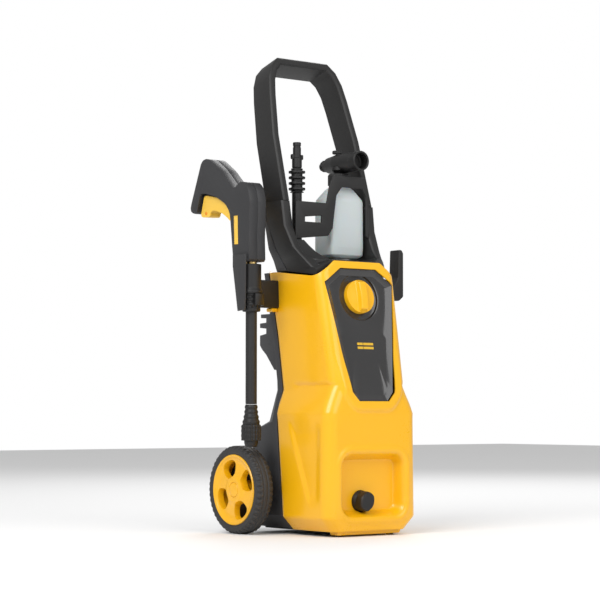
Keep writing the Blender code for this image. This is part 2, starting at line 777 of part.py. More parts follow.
def fittings():
    floor_y = front_y + recess_depth
    axis = (outlet_x, floor_y, outlet_z)
    nipple = [(0.0040, 0.018), (0.0085, 0.018), (0.0085, 0.004), (0.0110, 0.004), (0.0110, -0.010),
              (pipe_radius + 0.0012, -0.010), (0.0040, -0.012)]
    place("outlet_fitting", turned_mesh(nipple, axis, "-Y", 18), "brass")
    cap = [(0, outlet_reach), (0.0140, outlet_reach), (0.0170, outlet_reach - 0.003),
           (0.0178, 0.0060), (outlet_radius, 0.0045), (outlet_radius, 0.0003), (0.0115, 0.0003),
           (0.0115, 0.019), (0, 0.019)]
    place("outlet_cap", turned_mesh(cap, axis, "-Y", 22), "black", axis)
    inlet = [(0.0070, 0.022), (0.0115, 0.022), (0.0115, 0.006), (0.0150, 0.006), (0.0150, 0.0006),
             (0.0122, 0.0006), (0.0122, -0.012), (0.0070, -0.012)]
    place("inlet_fitting", turned_mesh(inlet, (0, arch_back_y, inlet_z), "+Y", 18), "black")
    gland = [(0.0040, 0.030), (0.0055, 0.030), (0.0075, 0.004), (0.0100, 0.004), (0.0100, 0.0006),
             (0.0066, 0.0006), (0.0066, -0.010), (0.0040, -0.010)]
    place("cord_gland", turned_mesh(gland, (0.030, back_y, 0.330), "+Y", 16), "rubber")


def piston_spots():
    for index in range(piston_count):
        angle = math.radians(90 + 360 / piston_count * index)
        yield index + 1, piston_circle * math.cos(angle), pump_y + piston_circle * math.sin(angle)


def pump_unit():
    centre = (0, pump_y, 0)
    casing = ring(centre, "+Z", motor_radius, motor_radius - 0.004, motor_low + bell_wall + gap,
                  motor_high - bell_wall - gap, 22)
    place("motor_housing", casing, "aluminium")
    for name, low in (("motor_flange", motor_low), ("motor_bell", motor_high - bell_wall)):
        place(name, ring(centre, "+Z", motor_radius, shaft_radius + running, low, low + bell_wall, 22),
              "aluminium")
    winding = ring(centre, "+Z", motor_radius - 0.004 - gap, rotor_radius + 0.0006,
                   motor_low + 0.020, motor_high - 0.020, 22)
    place("motor_winding", winding, "copper")
    rotor = [(0, motor_high + 0.018), (shaft_radius, motor_high + 0.018),
             (shaft_radius, motor_high - 0.028), (rotor_radius, motor_high - 0.028),
             (rotor_radius, motor_low + 0.028), (shaft_radius, motor_low + 0.028),
             (shaft_radius, motor_low - 0.018), (0, motor_low - 0.018)]
    place("rotor_shaft", turned_mesh(rotor, centre, "+Z", 22), "steel", (0, pump_y, motor_high))
    fan_low = motor_high + 0.003
    fan = place("cooling_fan", ring(centre, "+Z", 0.040, shaft_radius + running, fan_low,
                                    fan_low + 0.003, 24), "black", (0, pump_y, motor_high))
    for blade in range(6):
        mesh = box_mesh((0.012, -0.0008, fan_low + 0.002), (0.038, 0.0008, fan_low + 0.012))
        mesh.transform(Matrix.Translation(centre) @ Matrix.Rotation(math.radians(60 * blade), 4, "Z"))
        boolean(fan, mesh, "UNION")
    swash_plate(centre)
    crank = ring(centre, "+Z", crank_radius, crank_radius - 0.004, crank_low, motor_low - gap, 32)
    case = place("pump_case", crank, "aluminium")
    floor = disc(centre, "+Z", crank_radius - 0.002, crank_low, crank_low + 0.006, 32)
    boolean(case, floor, "UNION")
    head = place("pump_head", disc(centre, "+Z", head_radius, head_low, crank_low - gap, 32), "brass")
    for index, x, y in piston_spots():
        boolean(case, disc((x, y, 0), "+Z", piston_radius + running, 0.140, 0.165, 16))
        boolean(head, disc((x, y, 0), "+Z", piston_radius + running, 0.105, 0.165, 16))
        place(f"piston_{index}", disc((x, y, 0), "+Z", piston_radius, 0.112, 0.1775, 16), "steel")
    cross = disc((outlet_x, pump_y, outlet_z), "-Y", pipe_radius + gap, 0.012, 0.06, 16)
    boolean(head, cross)
    boolean(head, disc((0, pump_y, inlet_z), "+Y", pipe_radius + gap, 0.012, 0.06, 16))
    bracket(centre)
    floor_y = front_y + recess_depth
    place("outlet_pipe", tube_mesh([(outlet_x, pump_y - 0.013, outlet_z),
                                    (outlet_x, floor_y + 0.0125, outlet_z)], pipe_radius), "copper")
    place("inlet_pipe", tube_mesh([(0, pump_y + 0.013, inlet_z),
                                   (0, arch_back_y - 0.0125, inlet_z)], pipe_radius), "rubber")


def swash_plate(centre):
    """Wedge on the shaft's foot: its lower face is tilted and drives the pistons."""
    high, low, tilt = motor_low - 0.0005 - 0.018, motor_low - 0.030, 0.0055
    steps = 24
    upper, lower = [], []
    for i in range(steps):
        angle = 2 * math.pi * i / steps
        x, y = 0.026 * math.cos(angle), 0.026 * math.sin(angle)
        upper.append((x, y + centre[1], high))
        lower.append((x, y + centre[1], low + tilt * math.sin(angle) - 0.0005))
    place("swash_plate", loft_mesh([lower, upper]), "steel", (0, pump_y, motor_high))


def bracket(centre):
    """Bridge that carries the pump head above the tray."""
    foot = tray_low + tray_wall + gap
    plate = place("pump_bracket", box_mesh((-0.048, -0.040 + pump_y, 0.118),
                                           (0.048, 0.040 + pump_y, 0.124)), "steel", smooth=False)
    for side in (-1, 1):
        near, far = sorted((side * 0.045, side * 0.048))
        boolean(plate, box_mesh((near, -0.022 + pump_y, foot), (far, 0.022 + pump_y, 0.120)), "UNION")
    boolean(plate, disc(centre, "+Z", head_radius + gap, 0.110, 0.130, 32))


def electrics():
    capacitor = disc((-0.045, 0.030, 0), "+Z", 0.0155, 0.376, 0.436, 20)
    place("start_capacitor", capacitor, "black")


# ---------------------------------------------------------------- spray gun


gun_body = [(0.0075, 0.492), (0.0090, 0.532), (0.0060, 0.602), (0.0120, 0.624), (0.0200, 0.6340),
            (0.0310, 0.6385), (0.0440, 0.6345), (0.0560, 0.6265), (0.0750, 0.6430), (0.1000, 0.6660),
            (0.1360, 0.6890), (0.1500, 0.6915), (0.1620, 0.6860), (0.1960, 0.6080), (0.1980, 0.5990),
            (0.1925, 0.5935), (0.1770, 0.5900), (0.1660, 0.6270), (0.1520, 0.6269), (0.1140, 0.6173),
            (0.0840, 0.6021), (0.0700, 0.5860), (0.0665, 0.5672), (0.0615, 0.5242), (0.0570, 0.492)]
trigger_line = [(0.0765, 0.5850), (0.0860, 0.5975), (0.1000, 0.6090), (0.1200, 0.6165), (0.1500, 0.6230),
                (0.1610, 0.6235), (0.1630, 0.6180), (0.1720, 0.5880), (0.1690, 0.5840), (0.1420, 0.5825),
                (0.1395, 0.5925), (0.1280, 0.5935), (0.1030, 0.5865), (0.0840, 0.5755), (0.0765, 0.5690),
                (0.0705, 0.5730)]
inlay_line = [(0.0425, 0.5245), (0.0545, 0.5245), (0.0565, 0.5775), (0.0440, 0.5775)]
fin_line = [(0.0135, 0.4045), (0.0345, 0.4030), (0.0500, 0.4850), (0.0500, 0.5050), (0.0120, 0.5050),
            (0.0120, 0.4300)]


def gun_shells():
    """Two halves of the gun's casing, with a slot between them for the trigger."""
    for side, name in ((-1, "gun_shell_left"), (1, "gun_shell_right")):
        near, far = sorted((gun_x + side * gap / 2, gun_x + side * gun_half))
        mesh = plate_mesh([rounded(gun_body, 0.004, 1)], near, far, "YZ")
        shell = place(name, mesh, "dark_grey", (gun_x, lance_y, 0.55), smooth=False)
        boolean(shell, plate_mesh([slot_outline()], gun_x - trigger_half - slot_clearance,
                                  gun_x + trigger_half + slot_clearance, "YZ"))
        boolean(shell, disc((gun_x, lance_y, 0), "+Z", 0.0105 + gap, 0.48, 0.602, 20))
        if side < 0:
            fin = plate_mesh([fin_line], gun_x - fin_outer, gun_x - fin_inner, "YZ")
            root_block = box_mesh((gun_x - fin_inner - 0.001, 0.0130, 0.4930),
                                  (gun_x - gun_half + 0.001, 0.0490, 0.5035))
            boolean(shell, root_block, "UNION")
            boolean(shell, fin, "UNION")
        face = gun_x + side * gun_half
        low, high = sorted((face - side * 0.0015, face + side * 0.001))
        boolean(shell, plate_mesh([inlay_line], low, high, "YZ"))
        low, high = sorted((face - side * (0.0015 - gap), face + side * 0.0002))
        inset = [(y - math.copysign(gap, y - 0.050), z - math.copysign(gap, z - 0.551))
                 for y, z in inlay_line]
        place(name.replace("shell", "inlay"), plate_mesh([inset], low, high, "YZ"), "yellow",
              (gun_x, lance_y, 0.55), smooth=False)


def slot_outline():
    """Room for the trigger and its travel inside the casing."""
    return [(0.0640, 0.5600), (0.0640, 0.5860), (0.0760, 0.6040), (0.0950, 0.6200), (0.1200, 0.6360),
            (0.1550, 0.6520), (0.1680, 0.6500), (0.1680, 0.6200), (0.1780, 0.5870), (0.1780, 0.5700)]


trigger_pivot = (gun_x, 0.0760, 0.5780)
lock_spot = (gun_x, 0.1550, 0.5900)


def trigger():
    pieces = plate_mesh([rounded(trigger_line, 0.003, 1)], gun_x - trigger_half, gun_x + trigger_half,
                        "YZ")
    blade = place("trigger", pieces, "yellow", trigger_pivot, smooth=False)
    boolean(blade, disc(lock_spot, "+X", 0.0035, -0.02, 0.02, 16))
    lock = disc(lock_spot, "+X", 0.0032, -trigger_half - 0.0005, trigger_half + 0.0005, 16)
    place("trigger_lock", lock, "yellow", lock_spot)


def lance():
    centre = (gun_x, lance_y, 0)
    valve = [(lance_bore, 0.600), (0.0100, 0.600), (0.0100, 0.4885), (lance_bore, 0.4885)]
    place("gun_valve", turned_mesh(valve, centre, "+Z", 20), "brass")
    sleeve = [(0.0105, 0.4880), (sleeve_upper, 0.4880), (sleeve_upper, 0.4440), (sleeve_lip, 0.4400),
              (sleeve_lip, 0.4350), (sleeve_radius, 0.4350), (sleeve_radius, 0.4020), (0.0105, 0.4020)]
    place("lance_sleeve", turned_mesh(sleeve, centre, "+Z", 22), "black", centre)
    tube_low = tip_low + 0.077
    tube = [(lance_bore, 0.4860), (lance_radius, 0.4860), (lance_radius, tube_low), (lance_bore, tube_low)]
    place("lance_tube", turned_mesh(tube, centre, "+Z", 20), "black", centre)
    grip = [(radius, tip_low + rise) for radius, rise in
            [(lance_bore, 0.0766), (0.0110, 0.0766), (0.0150, 0.047), (0.0175, 0.038), (0.0175, 0.012),
             (0.0130, 0.012), (0.0130, 0.032), (lance_bore, 0.032)]]
    place("nozzle_collar", turned_mesh(grip, centre, "+Z", 20), "black", centre)
    tip = [(radius, tip_low + rise) for radius, rise in
           [(0.0015, 0.031), (0.0126, 0.031), (0.0126, 0.006), (0.0100, 0), (0.0015, 0)]]
    place("nozzle_tip", turned_mesh(tip, centre, "+Z", 20), "black", centre)


# ---------------------------------------------------------------- accessories


def accessory_holder():
    """Cross plate between the legs, with a slot and an arch round the bottle."""
    left, right = 0.0015 - slab_half, slab_half - 0.0015
    outer = [(left, 0.537), (-0.0100, 0.5455), (0.0000, 0.5600), (0.0090, 0.6220), (0.0220, 0.6380),
             (0.0700, 0.6380), (0.0790, 0.6240), (0.0790, 0.5500), (right, 0.5450), (right, 0.6050),
             (0.0790 + 0.0040, 0.6400), (0.0780, 0.6590), (0.0040, 0.6590), (-0.0060, 0.6420),
             (-0.0140, 0.6060), (left, 0.6060)]
    slot = [(-0.0640, 0.569), (-0.0260, 0.569), (-0.0260, 0.582), (-0.0640, 0.578)]
    low, high = holder_y - holder_half, holder_y + holder_half
    place("accessory_holder", plate_mesh([outer, slot], low, high, "XZ"), "black", smooth=False)


def spare_lance():
    centre = (spare_x, spare_y, 0)
    top = spare_top
    profile = [(0.0025, top), (0.0075, top), (0.0075, top - 0.028), (spare_radius, top - 0.032),
               (spare_radius, top - 0.046), (0.0155, top - 0.050), (0.0155, top - 0.092),
               (spare_radius, top - 0.096), (spare_radius, spare_low), (0.0025, spare_low)]
    lance_body = place("spare_lance", turned_mesh(profile, centre, "+Z", 20), "black", centre)
    for side in (-1, 1):
        near, far = sorted((side * 0.004, side * 0.0130))
        lug = box_mesh((spare_x + near, spare_y - 0.003, top - 0.030),
                       (spare_x + far, spare_y + 0.003, top - 0.022))
        boolean(lance_body, lug, "UNION")


def foam_lance():
    """Bottle with the foam head that stands on it."""
    rings = []
    for height, half, deep in ((bottle_low, bottle_half - 0.006, bottle_deep - 0.006),
                               (bottle_low + 0.006, bottle_half, bottle_deep),
                               (bottle_shoulder, bottle_half - 0.001, bottle_deep),
                               (bottle_high, bottle_half - 0.020, bottle_deep - 0.010)):
        rings.append(rectangle(bottle_x - half, bottle_x + half, bottle_y - deep, bottle_y + deep,
                               height, 0.009))
    bottle = place("foam_bottle", loft_mesh(rings), "bottle_white", (bottle_x, bottle_y, bottle_low))
    boolean(bottle, disc((bottle_x, bottle_y, 0), "+Z", 0.0150, bottle_high - 0.004, 0.652), "UNION")
    boolean(bottle, disc((bottle_x, bottle_y, 0), "+Z", 0.0125, bottle_high - 0.012, 0.70))
    cap = [(0.0080, 0.6670), (0.0190, 0.6670), (0.0210, 0.6640), (0.0210, 0.6450), (0.0154, 0.6450),
           (0.0154, 0.6526), (0.0080, 0.6526)]
    place("foam_cap", turned_mesh(cap, (bottle_x, bottle_y, 0), "+Z", 20), "black",
          (bottle_x, bottle_y, bottle_low))
    axis = (bottle_x + 0.006, bottle_y, foam_z)
    barrel = [(0, 0.042), (0.0135, 0.042), (0.0135, 0.060), (foam_radius, 0.060),
              (foam_radius, -0.010), (0.0150, -0.040), (0.0100, -0.044), (0.0100, -0.056), (0, -0.056)]
    head = place("foam_head", turned_mesh(barrel, axis, "-Y", 22), "black",
                 (bottle_x, bottle_y, bottle_low))
    boolean(head, disc((bottle_x, bottle_y, 0), "+Z", 0.0076, 0.6550, 0.680, 20), "UNION")
    knob = disc((bottle_x + 0.006, bottle_y + 0.012, foam_z), "+Z", 0.0100, foam_radius + 0.0008,
                foam_radius + 0.0070, 20)
    place("foam_knob", knob, "black", (bottle_x + 0.006, bottle_y + 0.012, foam_z))


def stand_on_origin():
    """Move the root so that the assembly's box is centred on Z and stands on z = 0."""
    view = bpy.context.view_layer
    view.update()
    graph = view.depsgraph
    low, high = Vector((9, 9, 9)), Vector((-9, -9, -9))
    for obj in parts.objects:
        if obj.type != "MESH":
            continue
        for vertex in obj.evaluated_get(graph).data.vertices:
            spot = obj.matrix_world @ vertex.co
            low = Vector(map(min, low, spot))
            high = Vector(map(max, high, spot))
    root.location = (-(low.x + high.x) / 2, -(low.y + high.y) / 2, -low.z)
    view.update()


front_cover()
control_panel()
power_knob()
switch_box()
rear_housing()
base_tray()
foot_pads()
for side, name in ((-1, "wheel_left"), (1, "wheel_right")):
    wheel(side, name)
axle()
yoke()
handle_frame()
handle_braces()
cord_hook()
gun_holder()
nozzle_rack()
fittings()
pump_unit()
electrics()
gun_shells()
trigger()
lance()
accessory_holder()
spare_lance()
foam_lance()
stand_on_origin()
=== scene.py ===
import json
import math

import bmesh
import bpy
import numpy as np
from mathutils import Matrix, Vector


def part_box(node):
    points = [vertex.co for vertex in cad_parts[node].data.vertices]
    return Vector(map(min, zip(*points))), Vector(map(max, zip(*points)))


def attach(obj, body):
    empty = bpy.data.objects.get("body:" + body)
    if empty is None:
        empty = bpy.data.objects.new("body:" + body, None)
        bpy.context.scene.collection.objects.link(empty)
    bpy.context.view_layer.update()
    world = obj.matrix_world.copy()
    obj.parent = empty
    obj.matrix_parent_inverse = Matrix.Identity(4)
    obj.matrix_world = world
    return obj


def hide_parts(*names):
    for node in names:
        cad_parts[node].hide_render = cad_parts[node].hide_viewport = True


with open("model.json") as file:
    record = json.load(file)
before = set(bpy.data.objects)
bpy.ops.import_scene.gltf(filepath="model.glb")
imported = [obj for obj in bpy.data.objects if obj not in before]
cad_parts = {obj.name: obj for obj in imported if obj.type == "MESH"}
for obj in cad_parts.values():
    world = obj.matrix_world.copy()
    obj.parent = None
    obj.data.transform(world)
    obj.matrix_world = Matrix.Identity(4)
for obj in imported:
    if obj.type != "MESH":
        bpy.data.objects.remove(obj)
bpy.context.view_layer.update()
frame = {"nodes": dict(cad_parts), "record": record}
nodes = frame["nodes"]
nodeSlot = {part["node"]: part["material_slot"] for part in frame["record"]["subparts"]}
nodeBody = {node: body for body, group in frame["record"]["behaviour"]["bodies"].items()
            for node in group}

# Sizes below are in metres in the machine's own frame: the mid-plane at x = 0, and y = 0
# over the motor. The axle tells where that frame lies in the model.
axleBack = 0.078
axleLow, axleHigh = (np.array(corner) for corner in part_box("axle"))
machine = np.array([(axleLow[0] + axleHigh[0]) / 2, (axleLow[1] + axleHigh[1]) / 2 - axleBack, 0.0])
print("frame loaded, machine frame at", machine.round(5))


# small helpers: ramps, placing and meshes

def smooth(low, high, value):
    # cubic ramp: 0 below low, 1 above high, 3t^2 - 2t^3 between
    t = np.clip((value - low) / (high - low), 0, 1)
    return t * t * (3 - 2 * t)


def centreOf(node):
    low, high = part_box(node)
    return np.array([(a + b) / 2 for a, b in zip(low, high)]) - machine


def gridFaces(rows, columns, wrap=True):
    # four-sided faces between neighbouring rows and columns of a grid, wrapped round its columns
    across = np.arange(columns if wrap else columns - 1)
    along = np.arange(rows - 1)[:, None]
    nextAcross = (across + 1) % columns
    corners = (along * columns + across, along * columns + nextAcross,
               (along + 1) * columns + nextAcross, (along + 1) * columns + across)
    return np.stack([c + np.zeros_like(along * across) for c in corners], -1).reshape(-1, 4)


def quadMesh(name, points, quads):
    mesh = bpy.data.meshes.new(name)
    mesh.vertices.add(len(points))
    mesh.vertices.foreach_set("co", np.ascontiguousarray(points, np.float32).ravel())
    mesh.loops.add(quads.size)
    mesh.loops.foreach_set("vertex_index", quads.astype(np.int32).ravel())
    mesh.polygons.add(len(quads))
    mesh.polygons.foreach_set("loop_start", np.arange(0, quads.size, 4, dtype=np.int32))
    mesh.update(calc_edges=True)
    mesh.validate()
    return mesh


def closeEnds(mesh, columns):
    # the first and last rows of a wrapped grid are shut with one face each
    bm = bmesh.new()
    bm.from_mesh(mesh)
    bm.verts.ensure_lookup_table()
    count = len(bm.verts)
    bm.faces.new([bm.verts[i] for i in reversed(range(columns))])
    bm.faces.new([bm.verts[i] for i in range(count - columns, count)])
    bmesh.ops.remove_doubles(bm, verts=bm.verts[:], dist=1e-6)
    bmesh.ops.recalc_face_normals(bm, faces=bm.faces[:])
    bm.to_mesh(mesh)
    bm.free()


def surface(name, grid, close=True):
    # a grid of rows and columns, wrapped round its columns, in the machine's frame
    rows, columns = grid.shape[:2]
    mesh = quadMesh(name, (grid + machine).reshape(-1, 3), gridFaces(rows, columns))
    if close:
        closeEnds(mesh, columns)
    return mesh


def axes(direction):
    # the direction as a unit vector, and two more square to it
    along = np.array(direction, float) / np.linalg.norm(direction)
    spare = np.array([0, 0, 1.0]) if abs(along[2]) < 0.9 else np.array([1.0, 0, 0])
    side = np.cross(spare, along)
    side /= np.linalg.norm(side)
    return side, np.cross(along, side), along


def turned(name, profile, centre, direction, steps=96, shape=None):
    # a profile of (radius, height) turned round an axis: centre + r cos(a) side + r sin(a) up + h along;
    # shape(radius, height, angle) may change the radius and height over the surface
    side, up, along = axes(direction)
    radius, height = (np.array(column, float)[:, None] for column in zip(*profile))
    angle = np.linspace(0, 2 * math.pi, steps, endpoint=False)[None, :]
    radius, height = radius + 0 * angle, height + 0 * angle
    if shape:
        radius, height = shape(radius, height, angle)
    grid = (np.array(centre) + radius[..., None] * (np.cos(angle)[..., None] * side
            + np.sin(angle)[..., None] * up) + height[..., None] * along)
    return surface(name, grid)


def fine(profile, step=0.001):
    # the profile with points no further apart than the step
    points = [profile[0]]
    for here, there in zip(profile, profile[1:]):
        count = max(1, int(math.dist(here, there) / step))
        points += [tuple(np.array(here) + (np.array(there) - here) * k / count)
                   for k in range(1, count + 1)]
    return points


def tidyCopy(node):
    # the node's own shape with its doubles merged and its flat faces made whole
    mesh = nodes[node].data.copy()
    bm = bmesh.new()
    bm.from_mesh(mesh)
    bmesh.ops.remove_doubles(bm, verts=bm.verts[:], dist=2e-5)
    bmesh.ops.dissolve_limit(bm, angle_limit=math.radians(1.5), verts=bm.verts[:],
                             edges=bm.edges[:])
    bm.to_mesh(mesh)
    bm.free()
    return mesh


def bevelled(obj, width, segments=3, angle=24):
    bevel = obj.modifiers.new("Bevel", "BEVEL")
    bevel.width = width
    bevel.segments = segments
    bevel.limit_method = "ANGLE"
    bevel.angle_limit = math.radians(angle)
    bevel.use_clamp_overlap = True
    bevel.harden_normals = True
    return obj


def cut(obj, mesh, operation="DIFFERENCE"):
    # joins or cuts another mesh into the piece, and keeps the result as its own mesh
    other = bpy.data.objects.new("cutter", mesh)
    bpy.context.collection.objects.link(other)
    step = obj.modifiers.new("Cut", "BOOLEAN")
    step.operation = operation
    step.object = other
    graph = bpy.context.evaluated_depsgraph_get()
    result = bpy.data.meshes.new_from_object(obj.evaluated_get(graph))
    obj.modifiers.clear()
    obj.data = result
    bpy.data.objects.remove(other)


def piece(name, mesh, material, stands=(), body=None, sharp=35):
    # links a finished mesh as a piece: it rides on the body of the node that it stands for
    obj = bpy.data.objects.new(name, mesh)
    bpy.context.collection.objects.link(obj)
    mesh.materials.clear()
    mesh.materials.append(material)
    mesh.shade_smooth()
    if sharp:
        mesh.set_sharp_from_angle(angle=math.radians(sharp))
    stands = [stands] if isinstance(stands, str) else list(stands)
    if stands:
        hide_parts(*stands)
    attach(obj, body or nodeBody[stands[0]])
    return obj


def refined(node, material, width=0.0012, segments=3, angle=24):
    # the node's own shape with rounded edges
    obj = piece(node + "_skin", tidyCopy(node), material, node, sharp=None)
    return bevelled(obj, width, segments, angle)


# materials

class Sum:
    # wraps a socket, so that an expression on it adds Math nodes
    def __init__(self, paint, socket):
        self.paint, self.socket = paint, socket

    def math(self, operation, first, second):
        return self.paint.node("ShaderNodeMath", {"operation": operation}, {0: first, 1: second})

    def __add__(self, other):
        return self.math("ADD", self, other)

    def __sub__(self, other):
        return self.math("SUBTRACT", self, other)

    def __mul__(self, other):
        return self.math("MULTIPLY", self, other)

    def __rsub__(self, other):
        return self.math("SUBTRACT", other, self)

    __radd__ = __add__
    __rmul__ = __mul__


class Paint:
    # one material: its nodes, its shader and the patterns that feed it
    def __init__(self, name, colour, roughness, **fixed):
        self.material = bpy.data.materials.new(name)
        self.material.use_nodes = True
        self.tree = self.material.node_tree
        self.shader = self.tree.nodes["Principled BSDF"]
        self.place = self.node("ShaderNodeTexCoord", {}, {}, "Object")
        self.colour = colour
        self.shader.inputs["Base Color"].default_value = (*colour, 1)
        self.shader.inputs["Roughness"].default_value = roughness
        for socket, value in fixed.items():
            self.shader.inputs[socket.replace("_", " ")].default_value = value

    def node(self, kind, settings, sockets, output=0):
        made = self.tree.nodes.new(kind)
        for key, value in settings.items():
            setattr(made, key, value)
        for key, value in sockets.items():
            if isinstance(value, Sum):
                self.tree.links.new(value.socket, made.inputs[key])
            else:
                made.inputs[key].default_value = value
        return Sum(self, made.outputs[output])

    def noise(self, scale, detail=2.0, output="Fac"):
        return self.node("ShaderNodeTexNoise", {},
                         {"Vector": self.place, "Scale": scale, "Detail": detail}, output)

    def mix(self, factor, first, second):
        return self.node("ShaderNodeMix", {"data_type": "RGBA"},
                         {0: factor, 6: (*first, 1), 7: (*second, 1)}, 2)

    def feed(self, socket, value):
        self.tree.links.new(value.socket, self.shader.inputs[socket])

    def bump(self, height, distance, strength=1.0):
        self.feed("Normal", self.node("ShaderNodeBump", {},
                                      {"Strength": strength, "Distance": distance, "Height": height}))


def shade(colour, amount):
    return tuple(c * amount for c in colour)


def moulded(name, colour, roughness, grain, depth, spread=0.08, **fixed):
    # moulded plastic: fine grain in the surface, and slow drifts of tone and gloss
    paint = Paint(name, colour, roughness, **fixed)
    drift = paint.noise(9.0, 3.0)
    paint.feed("Base Color", paint.mix(drift, shade(colour, 1 - spread), shade(colour, 1 + spread)))
    speck = paint.noise(grain, 3.0)
    paint.feed("Roughness", (drift - 0.5) * 0.12 + (speck - 0.5) * 0.10 + roughness)
    paint.bump(speck, depth)
    return paint.material


def metal(name, colour, roughness, grain=900.0, **fixed):
    # turned or cast metal: grain in the gloss and a little in the surface
    paint = Paint(name, colour, roughness, Metallic=1.0, **fixed)
    speck = paint.noise(grain, 2.0)
    paint.feed("Roughness", (speck - 0.5) * 0.25 + roughness)
    paint.bump(speck, 0.0001)
    return paint.material


yellowGloss = moulded("yellowGloss", (0.885, 0.452, 0.0035), 0.30, 520.0, 0.00006, 0.02,
                      Coat_Weight=0.18, Coat_Roughness=0.12)
yellowTrigger = moulded("yellowTrigger", (0.86, 0.53, 0.065), 0.36, 700.0, 0.00005, 0.03)
orangeLock = moulded("orangeLock", (0.82, 0.27, 0.012), 0.36, 700.0, 0.00005, 0.03)
blackMatt = moulded("blackMatt", (0.0095, 0.009, 0.0088), 0.52, 1500.0, 0.00012, 0.10)
blackDeep = moulded("blackDeep", (0.0070, 0.0066, 0.0066), 0.50, 1500.0, 0.00010, 0.10)
greyMatt = moulded("greyMatt", (0.040, 0.040, 0.043), 0.52, 1400.0, 0.00012, 0.08)
gunGrey = moulded("gunGrey", (0.026, 0.026, 0.028), 0.50, 1400.0, 0.00012, 0.08)
panelGloss = moulded("panelGloss", (0.020, 0.0195, 0.020), 0.20, 300.0, 0.00003, 0.06,
                     Coat_Weight=0.6, Coat_Roughness=0.07)
tyreRubber = moulded("tyreRubber", (0.026, 0.0255, 0.026), 0.62, 1100.0, 0.00020, 0.14)
softRubber = moulded("softRubber", (0.013, 0.013, 0.013), 0.60, 900.0, 0.00010, 0.12)
bottleMilk = moulded("bottleMilk", (0.60, 0.655, 0.66), 0.34, 160.0, 0.00008, 0.03,
                     Subsurface_Weight=0.25, Subsurface_Scale=0.012, Transmission_Weight=0.12)
steel = metal("steel", (0.56, 0.56, 0.58), 0.32)
castAluminium = metal("castAluminium", (0.55, 0.56, 0.58), 0.46, 500.0)
brass = metal("brass", (0.70, 0.50, 0.20), 0.30)
copper = metal("copper", (0.72, 0.33, 0.17), 0.36)
labelYellow = moulded("labelYellow", (0.70, 0.42, 0.02), 0.40, 900.0, 0.00003, 0.02)
print("materials made")

slotPaint = {"yellow_plastic": yellowGloss, "black_plastic": blackMatt, "grey_plastic": greyMatt,
             "gun_plastic": gunGrey, "panel_black": panelGloss, "tyre": tyreRubber,
             "rubber": softRubber, "steel": steel, "aluminium": castAluminium, "brass": brass,
             "copper": copper, "bottle_plastic": bottleMilk}
for node, obj in nodes.items():
    obj.data.materials.clear()
    obj.data.materials.append(slotPaint[nodeSlot[node]])


# yellow front cover

cover = {
    "half": [(0.011, 0.081), (0.034, 0.102), (0.218, 0.100), (0.262, 0.082), (0.460, 0.087),
             (0.4925, 0.087)],
    "front": [(0.011, -0.1195), (0.034, -0.1235), (0.218, -0.1235), (0.262, -0.1200),
              (0.4925, -0.077)],
    "seam": [(0.011, 0.009), (0.262, 0.037), (0.360, 0.050), (0.478, 0.074)],
    "rows": 176, "sideColumns": 34, "cornerColumns": 14, "frontColumns": 92,
    "corner": 0.020, "wall": 0.0024, "foot": 0.011,
    "topFront": 0.4925, "topSide": 0.466, "topBack": 0.478,
    "recessMiddle": 0.091, "recessHalf": (0.075, 0.059), "recessRound": 0.026,
    "recessDepth": 0.022, "recessSlope": 0.014, "recessRim": 0.0022,
    "lipHeight": 0.0044, "lipWidth": 0.0135, "lipFall": 0.0075,
    "creaseZ": 0.2685, "creaseDepth": 0.0034,
    "facetDepth": 0.0036, "facetTop": (-0.012, 0.190), "facetFoot": (-0.066, 0.060),
}
panel = {
    "corners": [(-0.041, 0.480), (-0.078, 0.454), (-0.049, 0.256), (-0.034, 0.240)],
    "wellZ": 0.430, "wellRadius": 0.043, "wellDepth": 0.010, "border": 0.0120, "sink": 0.0042,
    "steps": 288,
}


def readTable(table, height):
    return np.interp(height, *zip(*table))


slope = (cover["front"][4][1] - cover["front"][3][1]) / (cover["front"][4][0] - cover["front"][3][0])
faceOut = np.array([0, -1, slope]) / math.hypot(1, slope)
faceUp = np.array([0, slope, 1]) / math.hypot(1, slope)
faceSide = np.array([1.0, 0, 0])
wellCentre = np.array([0, float(readTable(cover["front"], panel["wellZ"])), panel["wellZ"]])


def panelEdges(grow=0.0):
    # the panel's outline as half-planes in the face's own frame: normal . point = distance
    half = [(x, (z - panel["wellZ"]) * math.hypot(1, slope)) for x, z in panel["corners"]]
    outline = np.array(half + [(-x, y) for x, y in reversed(half)])
    step = np.roll(outline, -1, 0) - outline
    normal = np.stack([-step[:, 1], step[:, 0]], 1) / np.linalg.norm(step, axis=1)[:, None]
    distance = (normal * outline).sum(1)
    flip = np.sign(distance)[:, None]
    return normal * flip, np.abs(distance) + grow


def outsidePanel(x, y, rounding=0.012):
    # distance outside the panel's outline: a soft largest of the distances past each edge
    normal, distance = panelEdges()
    past = np.stack([x * n[0] + y * n[1] - d for n, d in zip(normal, distance)])
    return np.log(np.exp(past / rounding * 3).sum(0)) * rounding / 3


